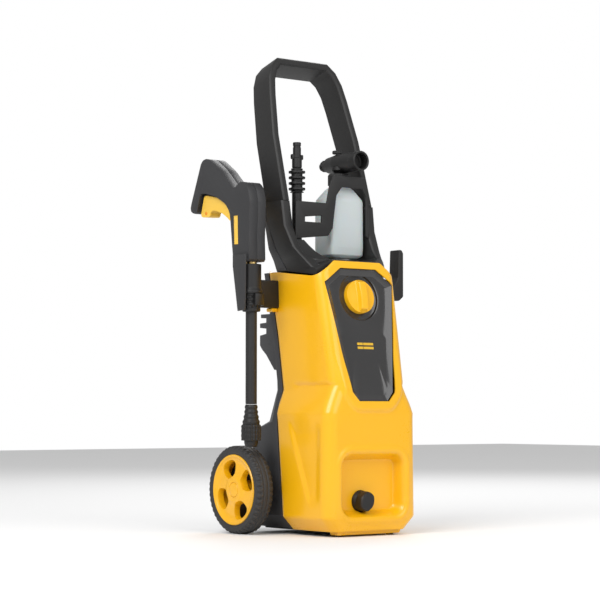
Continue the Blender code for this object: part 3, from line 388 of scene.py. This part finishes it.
def coverOutline(height):
    # the plan at a height, from seam to seam round the front: sides, corner arcs and front
    c = cover
    half, front, seam = (readTable(c[key], height) for key in ("half", "front", "seam"))
    t = np.linspace(0, 1, c["sideColumns"], endpoint=False)
    sideY = seam + (front + c["corner"] - seam) * t
    belly = 0.0016 * np.sin(math.pi * t) - 0.0050 * (1 - smooth(0, 0.085, t)) ** 2
    turn = np.linspace(0, math.pi / 2, c["cornerColumns"], endpoint=False)
    cornerX = half - c["corner"] + c["corner"] * np.cos(turn)
    cornerY = front + c["corner"] - c["corner"] * np.sin(turn)
    across = np.linspace(half - c["corner"], -(half - c["corner"]), c["frontColumns"])
    x = np.concatenate([half + belly, cornerX, across, -cornerX[::-1], -(half + belly)[::-1]])
    y = np.concatenate([sideY, cornerY, front + 0 * across, cornerY[::-1], sideY[::-1]])
    return x, y


def coverTop(x, y):
    # height of the cover's top edge: level along the sides, an eight-sided rise in front
    c = cover
    rise = np.clip((0.087 - np.abs(x)) / 0.034, 0, 1)
    backward = np.clip((y + 0.052) / 0.10, 0, 1)
    return c["topSide"] + rise * (c["topFront"] - c["topSide"]) + backward * (c["topBack"] - c["topSide"])


def coverShape():
    # rows from foot to top; then the front is pushed in at the recess and out at the lip
    c = cover
    topX, topY = coverOutline(c["topFront"])
    top = coverTop(topX, topY)
    share = np.linspace(0, 1, c["rows"])[:, None]
    z = c["foot"] + (top[None, :] - c["foot"]) * share
    x, y = np.empty_like(z), np.empty_like(z)
    for row in range(c["rows"]):
        level = c["foot"] + (c["topFront"] - c["foot"]) * share[row, 0]
        x[row], y[row] = coverOutline(level)
    # where a column's top is lower, its rows are read at their own heights
    half, front, seam = (readTable(c[key], z) for key in ("half", "front", "seam"))
    levels = c["foot"] + (c["topFront"] - c["foot"]) * share
    x *= half / readTable(c["half"], levels)
    wasFront, wasSeam = readTable(c["front"], levels), readTable(c["seam"], levels)
    y = front + (y - wasFront) * (seam - front) / (wasSeam - wasFront)

    facing = smooth(0.55, 0.98, 1 - (y - front) / c["corner"])
    inward = np.zeros_like(z)
    # recess: a rounded rectangle, its depth a ramp of the distance inside its edge
    rh, rr = c["recessHalf"], c["recessRound"]
    qx, qz = np.abs(x) - rh[0] + rr, np.abs(z - c["recessMiddle"]) - rh[1] + rr
    edge = np.hypot(np.maximum(qx, 0), np.maximum(qz, 0)) + np.minimum(np.maximum(qx, qz), 0) - rr
    inward += c["recessDepth"] * smooth(0, c["recessSlope"], -edge) * facing
    inward -= c["recessRim"] * np.exp(-((edge - 0.004) / 0.005) ** 2) * facing
    # lip: a raised band round the lower end of the panel, falling off below it
    faceY = (z - panel["wellZ"]) * math.hypot(1, slope)
    away = outsidePanel(x, faceY)
    band = (1 - smooth(c["lipWidth"], c["lipWidth"] + c["lipFall"], away)) * smooth(0.330, 0.262, z)
    inward -= c["lipHeight"] * band * facing
    out = np.zeros_like(z)
    # crease under the waist on both sides, and the slanted facet below it
    sides = 1 - smooth(0.060, 0.080, -np.abs(x) + 0.145)
    groove = np.exp(-((z - c["creaseZ"]) / 0.0042) ** 2) * smooth(0.0, 0.02, 0.004 - y)
    out -= c["creaseDepth"] * groove * sides * (1 - band)
    shelf = smooth(0.262, 0.232, z) * smooth(0.205, 0.232, z)
    out += 0.0016 * shelf * sides
    (ay, az), (by, bz) = c["facetTop"], c["facetFoot"]
    line = ay + (z - az) * (by - ay) / (bz - az)
    inFront = smooth(0.0, 0.010, line - y) * smooth(-0.106, -0.086, y)
    reach = smooth(0.050, 0.075, z) * smooth(0.212, 0.180, z)
    out -= c["facetDepth"] * inFront * reach * smooth(0.085, 0.092, np.abs(x))
    x = x + np.sign(x) * out
    y = y + inward
    # rounded top edge
    rolled = smooth(0.0, 1.0, (z - top[None, :] + 0.004) / 0.004)
    y = y + 0.0012 * rolled * facing
    return np.stack([x, y, z], -1)


def facePrism(name, outline, low, high):
    # straight prism on the leaning face: outline points in its frame, from low to high out of it
    outline = np.array(outline)
    rings = [wellCentre + outline[:, :1] * faceSide + outline[:, 1:] * faceUp + level * faceOut
             for level in (low, high)]
    return surface(name, np.stack(rings))


def reachInside(angle, grow=0.0):
    # how far the panel's outline lies in each direction: the nearest of its edges
    normal, distance = panelEdges(grow)
    toward = normal @ np.stack([np.cos(angle), np.sin(angle)])
    return np.where(toward > 1e-6, distance[:, None] / np.maximum(toward, 1e-6), 9).min(0)


def panelAngles():
    half = [(x, (z - panel["wellZ"]) * math.hypot(1, slope)) for x, z in panel["corners"]]
    corners = [math.atan2(y, x) for x, y in half + [(-x, y) for x, y in half]]
    even = np.linspace(-math.pi, math.pi, panel["steps"], endpoint=False)
    return np.array(sorted(set(even.round(5)) | set(np.array(corners).round(5))))


def makeCover():
    grid = coverShape()
    rows, columns = grid.shape[:2]
    mesh = quadMesh("front_cover_skin", (grid + machine).reshape(-1, 3),
                    gridFaces(rows, columns, wrap=False))
    bm = bmesh.new()
    bm.from_mesh(mesh)
    bmesh.ops.solidify(bm, geom=bm.faces[:], thickness=cover["wall"])
    bmesh.ops.recalc_face_normals(bm, faces=bm.faces[:])
    bm.to_mesh(mesh)
    bm.free()
    obj = piece("front_cover_skin", mesh, yellowGloss, "front_cover")
    angle = panelAngles()
    reach = reachInside(angle, 0.0005)
    cut(obj, facePrism("panel_hole", np.stack([reach * np.cos(angle), reach * np.sin(angle)], 1),
                       -0.040, 0.030))
    middle = centreOf("outlet_cap")
    middle[1] = cover["front"][1][1]
    cut(obj, turned("outlet_hole", [(0, -0.06), (0.0199, -0.06), (0.0199, 0.02), (0, 0.02)],
                    middle, (0, -1, 0), 48))
    obj.data.shade_smooth()
    obj.data.set_sharp_from_angle(angle=math.radians(38))
    return obj


def makeFoot():
    # lip under the cover: a wedge with rounded ends that reaches down to the floor pads
    s = {"half": 0.074, "front": -0.1165, "back": -0.0885, "low": 0.0032, "high": 0.0175}
    mesh = bpy.data.meshes.new("cover_foot")
    bm = bmesh.new()
    lower, upper = 0.004, 0.0
    ring = []
    for z, inset in ((s["low"], lower), (s["high"], upper)):
        x = s["half"] - inset
        ring.append([bm.verts.new(machine + np.array(p)) for p in
                     ((-x, s["front"] + inset, z), (x, s["front"] + inset, z), (x, s["back"], z),
                      (-x, s["back"], z))])
    low, high = ring
    bm.faces.new(low[::-1])
    bm.faces.new(high)
    for k in range(4):
        bm.faces.new((low[k], low[(k + 1) % 4], high[(k + 1) % 4], high[k]))
    bmesh.ops.recalc_face_normals(bm, faces=bm.faces[:])
    bm.to_mesh(mesh)
    bm.free()
    return bevelled(piece("cover_foot", mesh, yellowGloss, body="root",
                          sharp=None), 0.0012)


makeCover()
makeFoot()
print("cover made")


# control panel and knob

def makePanel():
    # rings about the well's middle: floor, wall, face, inclined border, rim and back; each ring's
    # radius runs from a circle to the outline as its share grows
    p = panel
    angle = panelAngles()
    outer = reachInside(angle, -0.0002)
    inner = reachInside(angle, -p["border"])
    well = p["wellRadius"]
    lip = np.minimum(well + 0.0022, inner - 0.0008)
    rings = [(0.0052 + 0 * angle, -p["wellDepth"]), (well - 0.004 + 0 * angle, -p["wellDepth"]),
             (well - 0.0012 + 0 * angle, -p["wellDepth"] + 0.0012),
             (well + 0 * angle, -p["wellDepth"] + 0.004), (well + 0 * angle, -p["sink"] - 0.0030),
             (well + 0.0004 + 0 * angle, -p["sink"] - 0.0016), (lip, -p["sink"] - 0.0010),
             (lip + (inner - lip) * 0.5, -p["sink"] - 0.0010), (inner, -p["sink"] - 0.0010),
             (inner + 0.0010, -p["sink"] - 0.0006), (outer - 0.0022, -0.0009),
             (outer - 0.0010, -0.0006), (outer - 0.0003, -0.0010), (outer, -0.0018),
             (outer, -0.0060), (outer - 0.003, -0.0060), (well + 0.0030 + 0 * angle, -0.0090),
             (well + 0.0028 + 0 * angle, -0.0135), (0.0052 + 0 * angle, -0.0135),
             (0.0052 + 0 * angle, -p["wellDepth"])]
    grid = np.stack([wellCentre + (radius * np.cos(angle))[:, None] * faceSide
                     + (radius * np.sin(angle))[:, None] * faceUp + level * faceOut
                     for radius, level in rings])
    mesh = surface("control_panel_skin", grid, close=False)
    bm = bmesh.new()
    bm.from_mesh(mesh)
    bmesh.ops.remove_doubles(bm, verts=bm.verts[:], dist=2e-5)
    bmesh.ops.recalc_face_normals(bm, faces=bm.faces[:])
    bm.to_mesh(mesh)
    bm.free()
    piece("control_panel_skin", mesh, panelGloss, "control_panel", sharp=30)


knob = {"radius": 0.0305, "dial": 0.0118, "dish": 0.0010, "grip": 0.0090, "gripHalf": 0.0100,
        "stem": 0.0050, "stemDepth": 0.014, "lift": 0.0004}


def knobHeight(x, y, radius):
    # a dished dial, its rim rolled over, with a rounded grip across its middle
    rim = 0.0330 - radius
    dial = (knob["dial"] * smooth(0.0, 0.0028, rim)
            + knob["dish"] * np.cos(radius / knob["radius"] * math.pi))
    across = smooth(knob["gripHalf"], 0.0068, np.abs(x))
    along = smooth(0.0307, 0.0240, np.hypot(x * 0.7, y))
    return dial + knob["grip"] * across * along


def makeKnob():
    # a grid in radius and angle lifted by the dial's height, then shut underneath
    radius = np.concatenate([np.linspace(0.0002, 0.0265, 44), np.linspace(0.0270, knob["radius"], 16)])
    angle = np.linspace(0, 2 * math.pi, 160, endpoint=False)
    r, a = np.meshgrid(radius, angle, indexing="ij")
    x, y = r * np.cos(a), r * np.sin(a)
    floor = knob["lift"] - panel["wellDepth"]
    level = floor + knobHeight(x, y, r)
    stack = [wellCentre + x[..., None] * faceSide + y[..., None] * faceUp + level[..., None] * faceOut]
    for radiusBelow, levelBelow in ((knob["radius"], floor), (knob["stem"], floor),
                                    (knob["stem"], floor - knob["stemDepth"])):
        ringX, ringY = radiusBelow * np.cos(angle), radiusBelow * np.sin(angle)
        stack.append((wellCentre + ringX[:, None] * faceSide + ringY[:, None] * faceUp
                      + levelBelow * faceOut)[None])
    piece("power_knob_skin", surface("power_knob_skin", np.concatenate(stack)), yellowGloss,
          "power_knob", sharp=55)


makePanel()
makeKnob()
print("panel and knob made")


# wheels

wheel = {"radius": 0.080, "face": 0.165, "width": 0.036, "rim": 0.064, "height": 0.080,
         "lugs": 46, "lugDepth": 0.0022, "windows": 4, "windowTurn": 24}


def lugs(radius, height, angle):
    # tread: edge blocks stand out by a steep wave round the tyre, staggered from side to side
    w = wheel
    shoulder = smooth(w["radius"] - 0.0065, w["radius"] - 0.0018, radius)
    middle = w["face"] - w["width"] / 2
    side = np.sign(height - middle)
    edge = smooth(0.0075, 0.0105, np.abs(height - middle))
    wave = np.clip(np.sin(angle * w["lugs"] + side * 0.8) * 2.2 + 0.4, -1, 1) * 0.5 + 0.5
    rib = np.exp(-((np.abs(height - middle) - 0.0045) / 0.0012) ** 2)
    return radius - w["lugDepth"] * shoulder * (edge * (1 - wave) + 0.55 * rib * (1 - edge)), height


def makeWheel(side, name):
    w = wheel
    centre = np.array([0, axleBack, w["height"]])
    out = (side, 0, 0)
    low, high, r = w["face"] - w["width"], w["face"], w["radius"]
    bead = w["rim"] + 0.0003
    tyre = [(bead, low + 0.002), (bead + 0.004, low + 0.0006), (r - 0.0065, low), (r - 0.0035, low + 0.0010),
            (r - 0.0004, low + 0.0048), (r, low + 0.009), (r, high - 0.009), (r - 0.0004, high - 0.0048),
            (r - 0.0035, high - 0.0010), (r - 0.0065, high), (bead + 0.0042, high - 0.0002),
            (bead + 0.0022, high - 0.0014), (bead, high - 0.0020), (bead, low + 0.002)]
    mesh = turned(name + "_tyre_skin", fine(tyre, 0.0011), centre, out, w["lugs"] * 8, lugs)
    piece(name + "_tyre_skin", mesh, tyreRubber, name + "_tyre")
    bore = 0.0063
    rim = [(0.0135, high - 0.0110), (0.0135, high - 0.0022), (0.0142, high - 0.0015),
           (0.0215, high - 0.0017), (0.0255, high - 0.0032), (0.0300, high - 0.0046),
           (0.0480, high - 0.0058), (0.0535, high - 0.0052), (0.0578, high - 0.0030),
           (0.0605, high - 0.0006), (0.0628, high - 0.0003), (w["rim"], high - 0.0014),
           (w["rim"], low + 0.0035), (0.0620, low + 0.0020), (0.0595, low + 0.0030),
           (0.0580, high - 0.016), (0.0560, high - 0.0160), (0.0200, high - 0.0160),
           (0.0180, low + 0.001), (bore, low), (bore, high - 0.0110), (0.0135, high - 0.0110)]
    mesh = turned(name + "_rim_skin", fine(rim, 0.0014), centre, out, 120)
    obj = piece(name + "_rim_skin", mesh, yellowGloss, name + "_rim")
    sideways, up, along = axes(out)
    for k in range(w["windows"]):
        middle = math.radians(w["windowTurn"] + 360 / w["windows"] * k)
        rings = []
        # a pocket with rounded corners in radius and angle, wider at the face than behind
        for level, grow in ((high - 0.030, -0.0020), (high - 0.010, 0.0), (high - 0.0050, 0.0013),
                            (high + 0.006, 0.0052)):
            t = np.linspace(0, 2 * math.pi, 40, endpoint=False)
            bulge = (np.abs(np.cos(t)) ** 3.2 + np.abs(np.sin(t)) ** 3.2) ** (-1 / 3.2)
            radius = 0.0400 + (0.0140 + grow) * bulge * np.sin(t)
            turn = middle + (0.0165 + grow) * bulge * np.cos(t) / 0.0385
            rings.append(centre + (radius * np.cos(turn))[:, None] * sideways
                         + (radius * np.sin(turn))[:, None] * up + level * along)
        cut(obj, surface("pocket", np.stack(rings)))
    obj.data.shade_smooth()
    obj.data.set_sharp_from_angle(angle=math.radians(38))
    cap = [(0, high - 0.0068), (0.0131, high - 0.0068), (0.0131, high - 0.0022),
           (0.0124, high - 0.0013), (0.0085, high - 0.0010), (0, high - 0.0009)]
    piece(name + "_cap_skin", turned(name + "_cap_skin", fine(cap, 0.0015), centre, out, 64),
          yellowGloss, name.replace("wheel", "axle_cap"))


for side, name in ((-1, "wheel_left"), (1, "wheel_right")):
    makeWheel(side, name)
print("wheels made")


# spray gun, lance and nozzle

gun = {"x": -0.161, "y": 0.026}


def makeLance():
    x, y = gun["x"], gun["y"]
    centre = (x, y, 0)
    up = (0, 0, 1)
    r = 0.0103

    def gridSlots(radius, height, angle):
        # sleeve: three rows of shallow windows round its lower end
        row = np.abs((height - 0.4105) / 0.0090 - np.round((height - 0.4105) / 0.0090))
        inRows = smooth(0.4055, 0.4075, height) * smooth(0.4335, 0.4315, height)
        column = np.abs(np.sin(angle * 6))
        mask = smooth(0.34, 0.26, row) * inRows * smooth(0.22, 0.34, column)
        return radius - 0.0016 * mask * smooth(0.0135, 0.0155, radius), height

    sleeve = [(0.0108, 0.4020), (0.0150, 0.4020), (0.0162, 0.4032), (0.0165, 0.4060),
              (0.0165, 0.4350), (0.0201, 0.4352), (0.0205, 0.4360), (0.0205, 0.4394),
              (0.0182, 0.4436), (0.0180, 0.4450), (0.0180, 0.4872), (0.0172, 0.4880),
              (0.0108, 0.4880), (0.0108, 0.4020)]
    piece("lance_sleeve_skin", turned("lance_sleeve_skin", fine(sleeve, 0.0007), centre, up, 144, gridSlots),
          blackDeep, "lance_sleeve")
    tube = [(0.0034, 0.2352), (r - 0.0008, 0.2352), (r, 0.2362), (r, 0.4848), (r - 0.0008, 0.4858),
            (0.0034, 0.4858), (0.0034, 0.2352)]
    piece("lance_tube_skin", turned("lance_tube_skin", fine(tube, 0.004), centre, up, 72),
          blackMatt, "lance_tube")

    def ribs(radius, height, angle):
        # collar: fluted all round, with rings that grow less deep towards the tube
        flute = np.clip(np.sin(angle * 18) * 1.8, -1, 1) * 0.00055
        ring = 0.0006 * np.cos((height - 0.17) / 0.0086 * 2 * math.pi)
        mask = smooth(0.0135, 0.0158, radius) * smooth(0.2010, 0.1980, height)
        cone = smooth(0.2000, 0.2030, height) * smooth(0.0105, 0.0115, radius)
        return radius - 0.0009 + flute * mask + ring * (cone + 0.4 * mask), height

    collar = [(0.0130, 0.1900), (0.0138, 0.1700), (0.0176, 0.1700), (0.0184, 0.1715), (0.0184, 0.1950),
              (0.0178, 0.1975), (0.0160, 0.1990), (0.0166, 0.2020), (0.0150, 0.2080), (0.0132, 0.2180),
              (0.0122, 0.2280), (0.0119, 0.2346), (0.0042, 0.2346), (0.0042, 0.1900), (0.0130, 0.1900)]
    piece("nozzle_collar_skin", turned("nozzle_collar_skin", fine(collar, 0.0007), centre, up, 144, ribs),
          blackDeep, "nozzle_collar")
    tip = [(0.0016, 0.1585), (0.0040, 0.1580), (0.0096, 0.1582), (0.0104, 0.1592), (0.0122, 0.1640),
           (0.0126, 0.1660), (0.0126, 0.1880), (0.0118, 0.1888), (0.0016, 0.1888), (0.0016, 0.1585)]
    piece("nozzle_tip_skin", turned("nozzle_tip_skin", fine(tip, 0.001), centre, up, 72),
          blackDeep, "nozzle_tip")


makeLance()
for node in ("gun_shell_left", "gun_shell_right"):
    refined(node, gunGrey, 0.0010, 2, 40)
for node in ("gun_inlay_left", "gun_inlay_right"):
    refined(node, yellowTrigger, 0.0004, 2)
refined("trigger", yellowTrigger, 0.0022, 4)
refined("trigger_lock", orangeLock, 0.0005, 2)
print("gun and lance made")


# foam lance and spare lance

def makeSpare():
    low, high = (np.array(corner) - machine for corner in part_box("spare_lance"))
    x, y = (low[:2] + high[:2]) / 2
    top = high[2]

    def rings(radius, height, angle):
        # bayonet end: a stack of thin rings on a waist
        drop = top - height
        wave = np.abs(((drop - 0.0500) / 0.0105) % 1 - 0.5) * 2
        mask = smooth(0.0485, 0.0505, drop) * smooth(0.0930, 0.0910, drop)
        return radius - 0.0050 * smooth(0.35, 0.60, wave) * mask, height

    profile = [(0.0028, top - 0.006), (0.0026, top), (0.0068, top), (0.0075, top - 0.0010),
               (0.0075, top - 0.0060), (0.0068, top - 0.0066), (0.0068, top - 0.0090),
               (0.0075, top - 0.0096), (0.0075, top - 0.0280), (0.0092, top - 0.0300),
               (0.0092, top - 0.0460), (0.0080, top - 0.0480), (0.0154, top - 0.0500),
               (0.0154, top - 0.0920), (0.0092, top - 0.0940), (0.0092, low[2] + 0.0010),
               (0.0085, low[2]), (0.0028, low[2]), (0.0028, top - 0.006)]
    mesh = turned("spare_lance_skin", fine(profile, 0.0007), (x, y, 0), (0, 0, 1), 96, rings)
    obj = piece("spare_lance_skin", mesh, blackDeep, "spare_lance")
    for side in (-1, 1):
        # each lug is a short bar with rounded edges: |u|^4 + |v|^4 = 1 carried outwards
        t = np.linspace(0, 2 * math.pi, 28, endpoint=False)
        bulge = (np.abs(np.cos(t)) ** 5 + np.abs(np.sin(t)) ** 5) ** -0.2
        stack = [np.stack([x + side * reach + 0 * t, y + 0.0030 * grow * bulge * np.cos(t),
                           top - 0.0270 + 0.0046 * grow * bulge * np.sin(t)], -1)
                 for reach, grow in ((0.003, 1), (0.0120, 1), (0.0127, 0.9), (0.0129, 0.7))]
        cut(obj, surface("lug", np.stack(stack)), "UNION")
    obj.data.shade_smooth()
    obj.data.set_sharp_from_angle(angle=math.radians(35))


def makeFoamHead():
    bottle = centreOf("foam_bottle")
    x, z = bottle[0] + 0.006, 0.687
    centre = (x, bottle[1], z)

    def collar(radius, height, angle):
        # the hose end is ringed and a little uneven; the barrel is plain
        ring = 0.5 + 0.5 * np.cos((height + 0.056) / 0.0048 * 2 * math.pi)
        lugsRound = np.clip(np.sin(angle * 3 + 0.6) * 3, -1, 1) * 0.5 + 0.5
        end = smooth(-0.036, -0.040, height) * smooth(0.004, 0.008, radius)
        return radius - end * (0.0016 * ring + 0.0011 * lugsRound), height

    barrel = [(0.0004, 0.0400), (0.0120, 0.0400), (0.0140, 0.0420), (0.0148, 0.0590), (0.0158, 0.0600),
              (0.0178, 0.0600), (0.0185, 0.0592), (0.0185, 0.0440), (0.0182, 0.0436), (0.0182, 0.0424),
              (0.0185, 0.0420), (0.0185, -0.0100), (0.0172, -0.0190), (0.0152, -0.0360),
              (0.0148, -0.0400), (0.0118, -0.0440), (0.0116, -0.0550), (0.0104, -0.0560), (0.0004, -0.0560)]
    mesh = turned("foam_head_skin", fine(barrel, 0.0010), centre, (0, -1, 0), 96, collar)
    obj = piece("foam_head_skin", mesh, blackDeep, "foam_head")
    neck = [(0.0004, 0.6562), (0.0077, 0.6562), (0.0077, 0.6680), (0.0150, 0.6735), (0.0150, 0.6800),
            (0.0004, 0.6800)]
    cut(obj, turned("neck", neck, (bottle[0], bottle[1], 0), (0, 0, 1), 48), "UNION")
    obj.data.shade_smooth()
    obj.data.set_sharp_from_angle(angle=math.radians(35))

    def grips(radius, height, angle):
        # screw cap: fine upright ridges on its skirt
        mask = smooth(0.0180, 0.0200, radius)
        return radius - 0.0006 * mask * (0.5 + 0.5 * np.cos(angle * 40)), height

    cap = [(0.0081, 0.6526), (0.0154, 0.6526), (0.0154, 0.6452), (0.0205, 0.6450), (0.0211, 0.6458),
           (0.0211, 0.6630), (0.0200, 0.6656), (0.0188, 0.6668), (0.0081, 0.6668), (0.0081, 0.6526)]
    piece("foam_cap_skin", turned("foam_cap_skin", fine(cap, 0.001), (bottle[0], bottle[1], 0),
                                  (0, 0, 1), 240, grips), blackDeep, "foam_cap")
    knobX, knobY = centreOf("foam_knob")[:2]
    knob = [(0.0004, 0.7065), (0.0092, 0.7065), (0.0100, 0.7072), (0.0100, 0.7118), (0.0090, 0.7127),
            (0.0004, 0.7127)]

    def teeth(radius, height, angle):
        return radius - 0.0007 * smooth(0.008, 0.0095, radius) * (0.5 + 0.5 * np.cos(angle * 18)), height

    piece("foam_knob_skin", turned("foam_knob_skin", fine(knob, 0.0007), (knobX, knobY, 0),
                                   (0, 0, 1), 144, teeth), blackMatt, "foam_knob")


def makeBottle():
    # blown bottle: each ring is a rounded rectangle |u|^n + |v|^n = 1, its sizes read up the height
    low, high = (np.array(corner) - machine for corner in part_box("foam_bottle"))
    x, y = (low[:2] + high[:2]) / 2
    halfX, halfY = (high[:2] - low[:2]) / 2
    z0 = low[2]
    sections = [(0.0000, 0.80, 0.76, 4.0), (0.0015, 0.86, 0.84, 5.0), (0.0060, 0.985, 0.98, 7.0),
                (0.0200, 1.0, 1.0, 8.0), (0.0800, 0.992, 1.0, 8.0), (0.1060, 0.985, 0.99, 8.0),
                (0.1110, 0.965, 0.97, 6.5), (0.1280, 0.62, 0.75, 4.5), (0.1330, 0.50, 0.66, 3.4),
                (0.1350, 0.400, 0.54, 2.2), (0.1370, 0.380, 0.527, 2.0), (0.1440, 0.378, 0.524, 2.0)]
    level, wide, deep, power = (np.array(c) for c in zip(*sections))
    height = np.linspace(0, level[-1], 150)
    angle = np.linspace(0, 2 * math.pi, 200, endpoint=False)
    w, d, n = (np.interp(height, level, c)[:, None] for c in (wide, deep, power))
    bulge = (np.abs(np.cos(angle)) ** n + np.abs(np.sin(angle)) ** n) ** (-1 / n)
    scaleX, scaleY = halfX * w, halfY * d
    outer = np.stack([x + scaleX * bulge * np.cos(angle), y + scaleY * bulge * np.sin(angle),
                      z0 + height[:, None] + 0 * bulge], -1)
    rim = np.stack([np.stack([x + r * np.cos(angle), y + r * np.sin(angle), z0 + lift + 0 * angle], -1)
                    for r, lift in ((0.0146, 0.1448), (0.0126, 0.1448), (0.0124, 0.1300),
                                    (0.0124, 0.1250))])
    piece("foam_bottle_skin", surface("foam_bottle_skin", np.concatenate([outer, rim])),
          bottleMilk, "foam_bottle", sharp=50)


makeSpare()
makeFoamHead()
makeBottle()
print("lances and bottle made")


# water outlet

def makeOutlet():
    low, high = (np.array(corner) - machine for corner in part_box("outlet_cap"))
    x, z = (low[0] + high[0]) / 2, (low[2] + high[2]) / 2
    floor = high[1] + 0.0003

    def wings(radius, height, angle):
        # dust cap: two broad flats give the fingers a hold
        flat = smooth(0.45, 0.95, np.abs(np.cos(angle + 0.5))) * smooth(0.0065, 0.0095, height)
        return radius * (1 - 0.13 * flat * smooth(0.011, 0.014, radius)), height

    cap = [(0.0004, 0.0190), (0.0115, 0.0190), (0.0115, 0.0004), (0.0185, 0.0003), (0.0194, 0.0012),
           (0.0194, 0.0045), (0.0182, 0.0062), (0.0179, 0.0200), (0.0172, 0.0236), (0.0155, 0.0254),
           (0.0120, 0.0259), (0.0060, 0.0257), (0.0004, 0.0256)]
    piece("outlet_cap_skin", turned("outlet_cap_skin", fine(cap, 0.0008), (x, floor, z), (0, -1, 0), 96,
                                    wings), blackDeep, "outlet_cap")


makeOutlet()

# housings, handle and fittings keep their own shape with rounded edges

bevels = {
    "rear_housing": (greyMatt, 0.0022, 3), "base_tray": (blackMatt, 0.0010, 2),
    "handle_yoke": (blackMatt, 0.0018, 3), "handle_frame": (blackMatt, 0.0020, 3),
    "handle_brace_left": (greyMatt, 0.0010, 2), "handle_brace_right": (greyMatt, 0.0010, 2),
    "cord_hook": (blackMatt, 0.0022, 4), "gun_holder": (blackDeep, 0.0012, 3),
    "holder_clip": (yellowGloss, 0.0008, 2), "nozzle_rack": (greyMatt, 0.0009, 3),
    "accessory_holder": (blackMatt, 0.0009, 3), "inlet_fitting": (blackMatt, 0.0007, 2),
    "cord_gland": (softRubber, 0.0007, 2), "foot_pad_left": (softRubber, 0.0006, 2),
    "foot_pad_right": (softRubber, 0.0006, 2), "outlet_fitting": (brass, 0.0005, 2),
}
for node, (material, width, segments) in bevels.items():
    refined(node, material, width, segments)
print("housings and fittings finished")


# generic marks on the panel

def makeMarks():
    # short raised bars stand where a machine has its printed notes
    s = {"rows": ((0.3445, 0.0022), (0.3375, 0.0022)), "columns": ((-0.0105, 0.0062), (0.0085, 0.0115))}
    level = -panel["sink"] - 0.0009
    for i, (z, high) in enumerate(s["rows"]):
        for j, (x, wide) in enumerate(s["columns"]):
            y = (z - panel["wellZ"]) * math.hypot(1, slope)
            outline = [(x - wide, y - high), (x + wide, y - high), (x + wide, y + high), (x - wide, y + high)]
            piece(f"panel_mark_{i}_{j}", facePrism("mark", outline, level - 0.0006, level + 0.0003),
                  labelYellow, body="root")


makeMarks()


# floor, light and camera

def makeStage():
    bpy.ops.mesh.primitive_plane_add(size=14, location=(0, 0, 0))
    floor = bpy.context.object
    floor.name = "floor"
    floor.data.materials.append(Paint("floorPaint", (0.93, 0.93, 0.93), 0.9).material)
    world = bpy.data.worlds.new("studio")
    world.use_nodes = True
    world.node_tree.nodes["Background"].inputs[0].default_value = (1, 1, 1, 1)
    # the backdrop reads white, and lights the machine with about half of that
    ambient, backdrop = 0.55, 1.0
    tree = world.node_tree
    path, level = tree.nodes.new("ShaderNodeLightPath"), tree.nodes.new("ShaderNodeMapRange")
    level.inputs["To Min"].default_value, level.inputs["To Max"].default_value = ambient, backdrop
    tree.links.new(path.outputs["Is Camera Ray"], level.inputs["Value"])
    tree.links.new(level.outputs["Result"], tree.nodes["Background"].inputs["Strength"])
    bpy.context.scene.world = world
    bpy.context.scene.view_settings.view_transform = "Standard"
    lamps = {"key": ((-2.6, -1.2, 2.4), 1.8, 70), "front": ((0.2, -3.0, 1.9), 2.2, 34),
             "rim": ((1.8, 1.6, 2.2), 1.5, 26)}
    aim = Vector((0, 0, 0.4))
    for name, (spot, size, power) in lamps.items():
        lamp = bpy.data.lights.new(name, "AREA")
        lamp.size, lamp.energy = size, power
        obj = bpy.data.objects.new(name, lamp)
        obj.location = spot
        obj.rotation_euler = (aim - Vector(spot)).to_track_quat("-Z", "Y").to_euler()
        bpy.context.collection.objects.link(obj)


def makeCamera():
    s = {"place": (-2.18262, -2.80290, 0.222), "azimuth": 37.0, "lens": 115.6, "rise": 110 / 1900}
    camera = bpy.data.cameras.new("camera")
    camera.lens, camera.sensor_width = s["lens"], 36.0
    obj = bpy.data.objects.new("camera", camera)
    obj.location = machine + np.array(s["place"])
    turn = math.radians(s["azimuth"])
    look = Vector((math.sin(turn), math.cos(turn), s["rise"]))
    obj.rotation_euler = look.to_track_quat("-Z", "Y").to_euler()
    bpy.context.collection.objects.link(obj)
    bpy.context.scene.camera = obj


makeStage()
makeCamera()
print("stage and camera set")
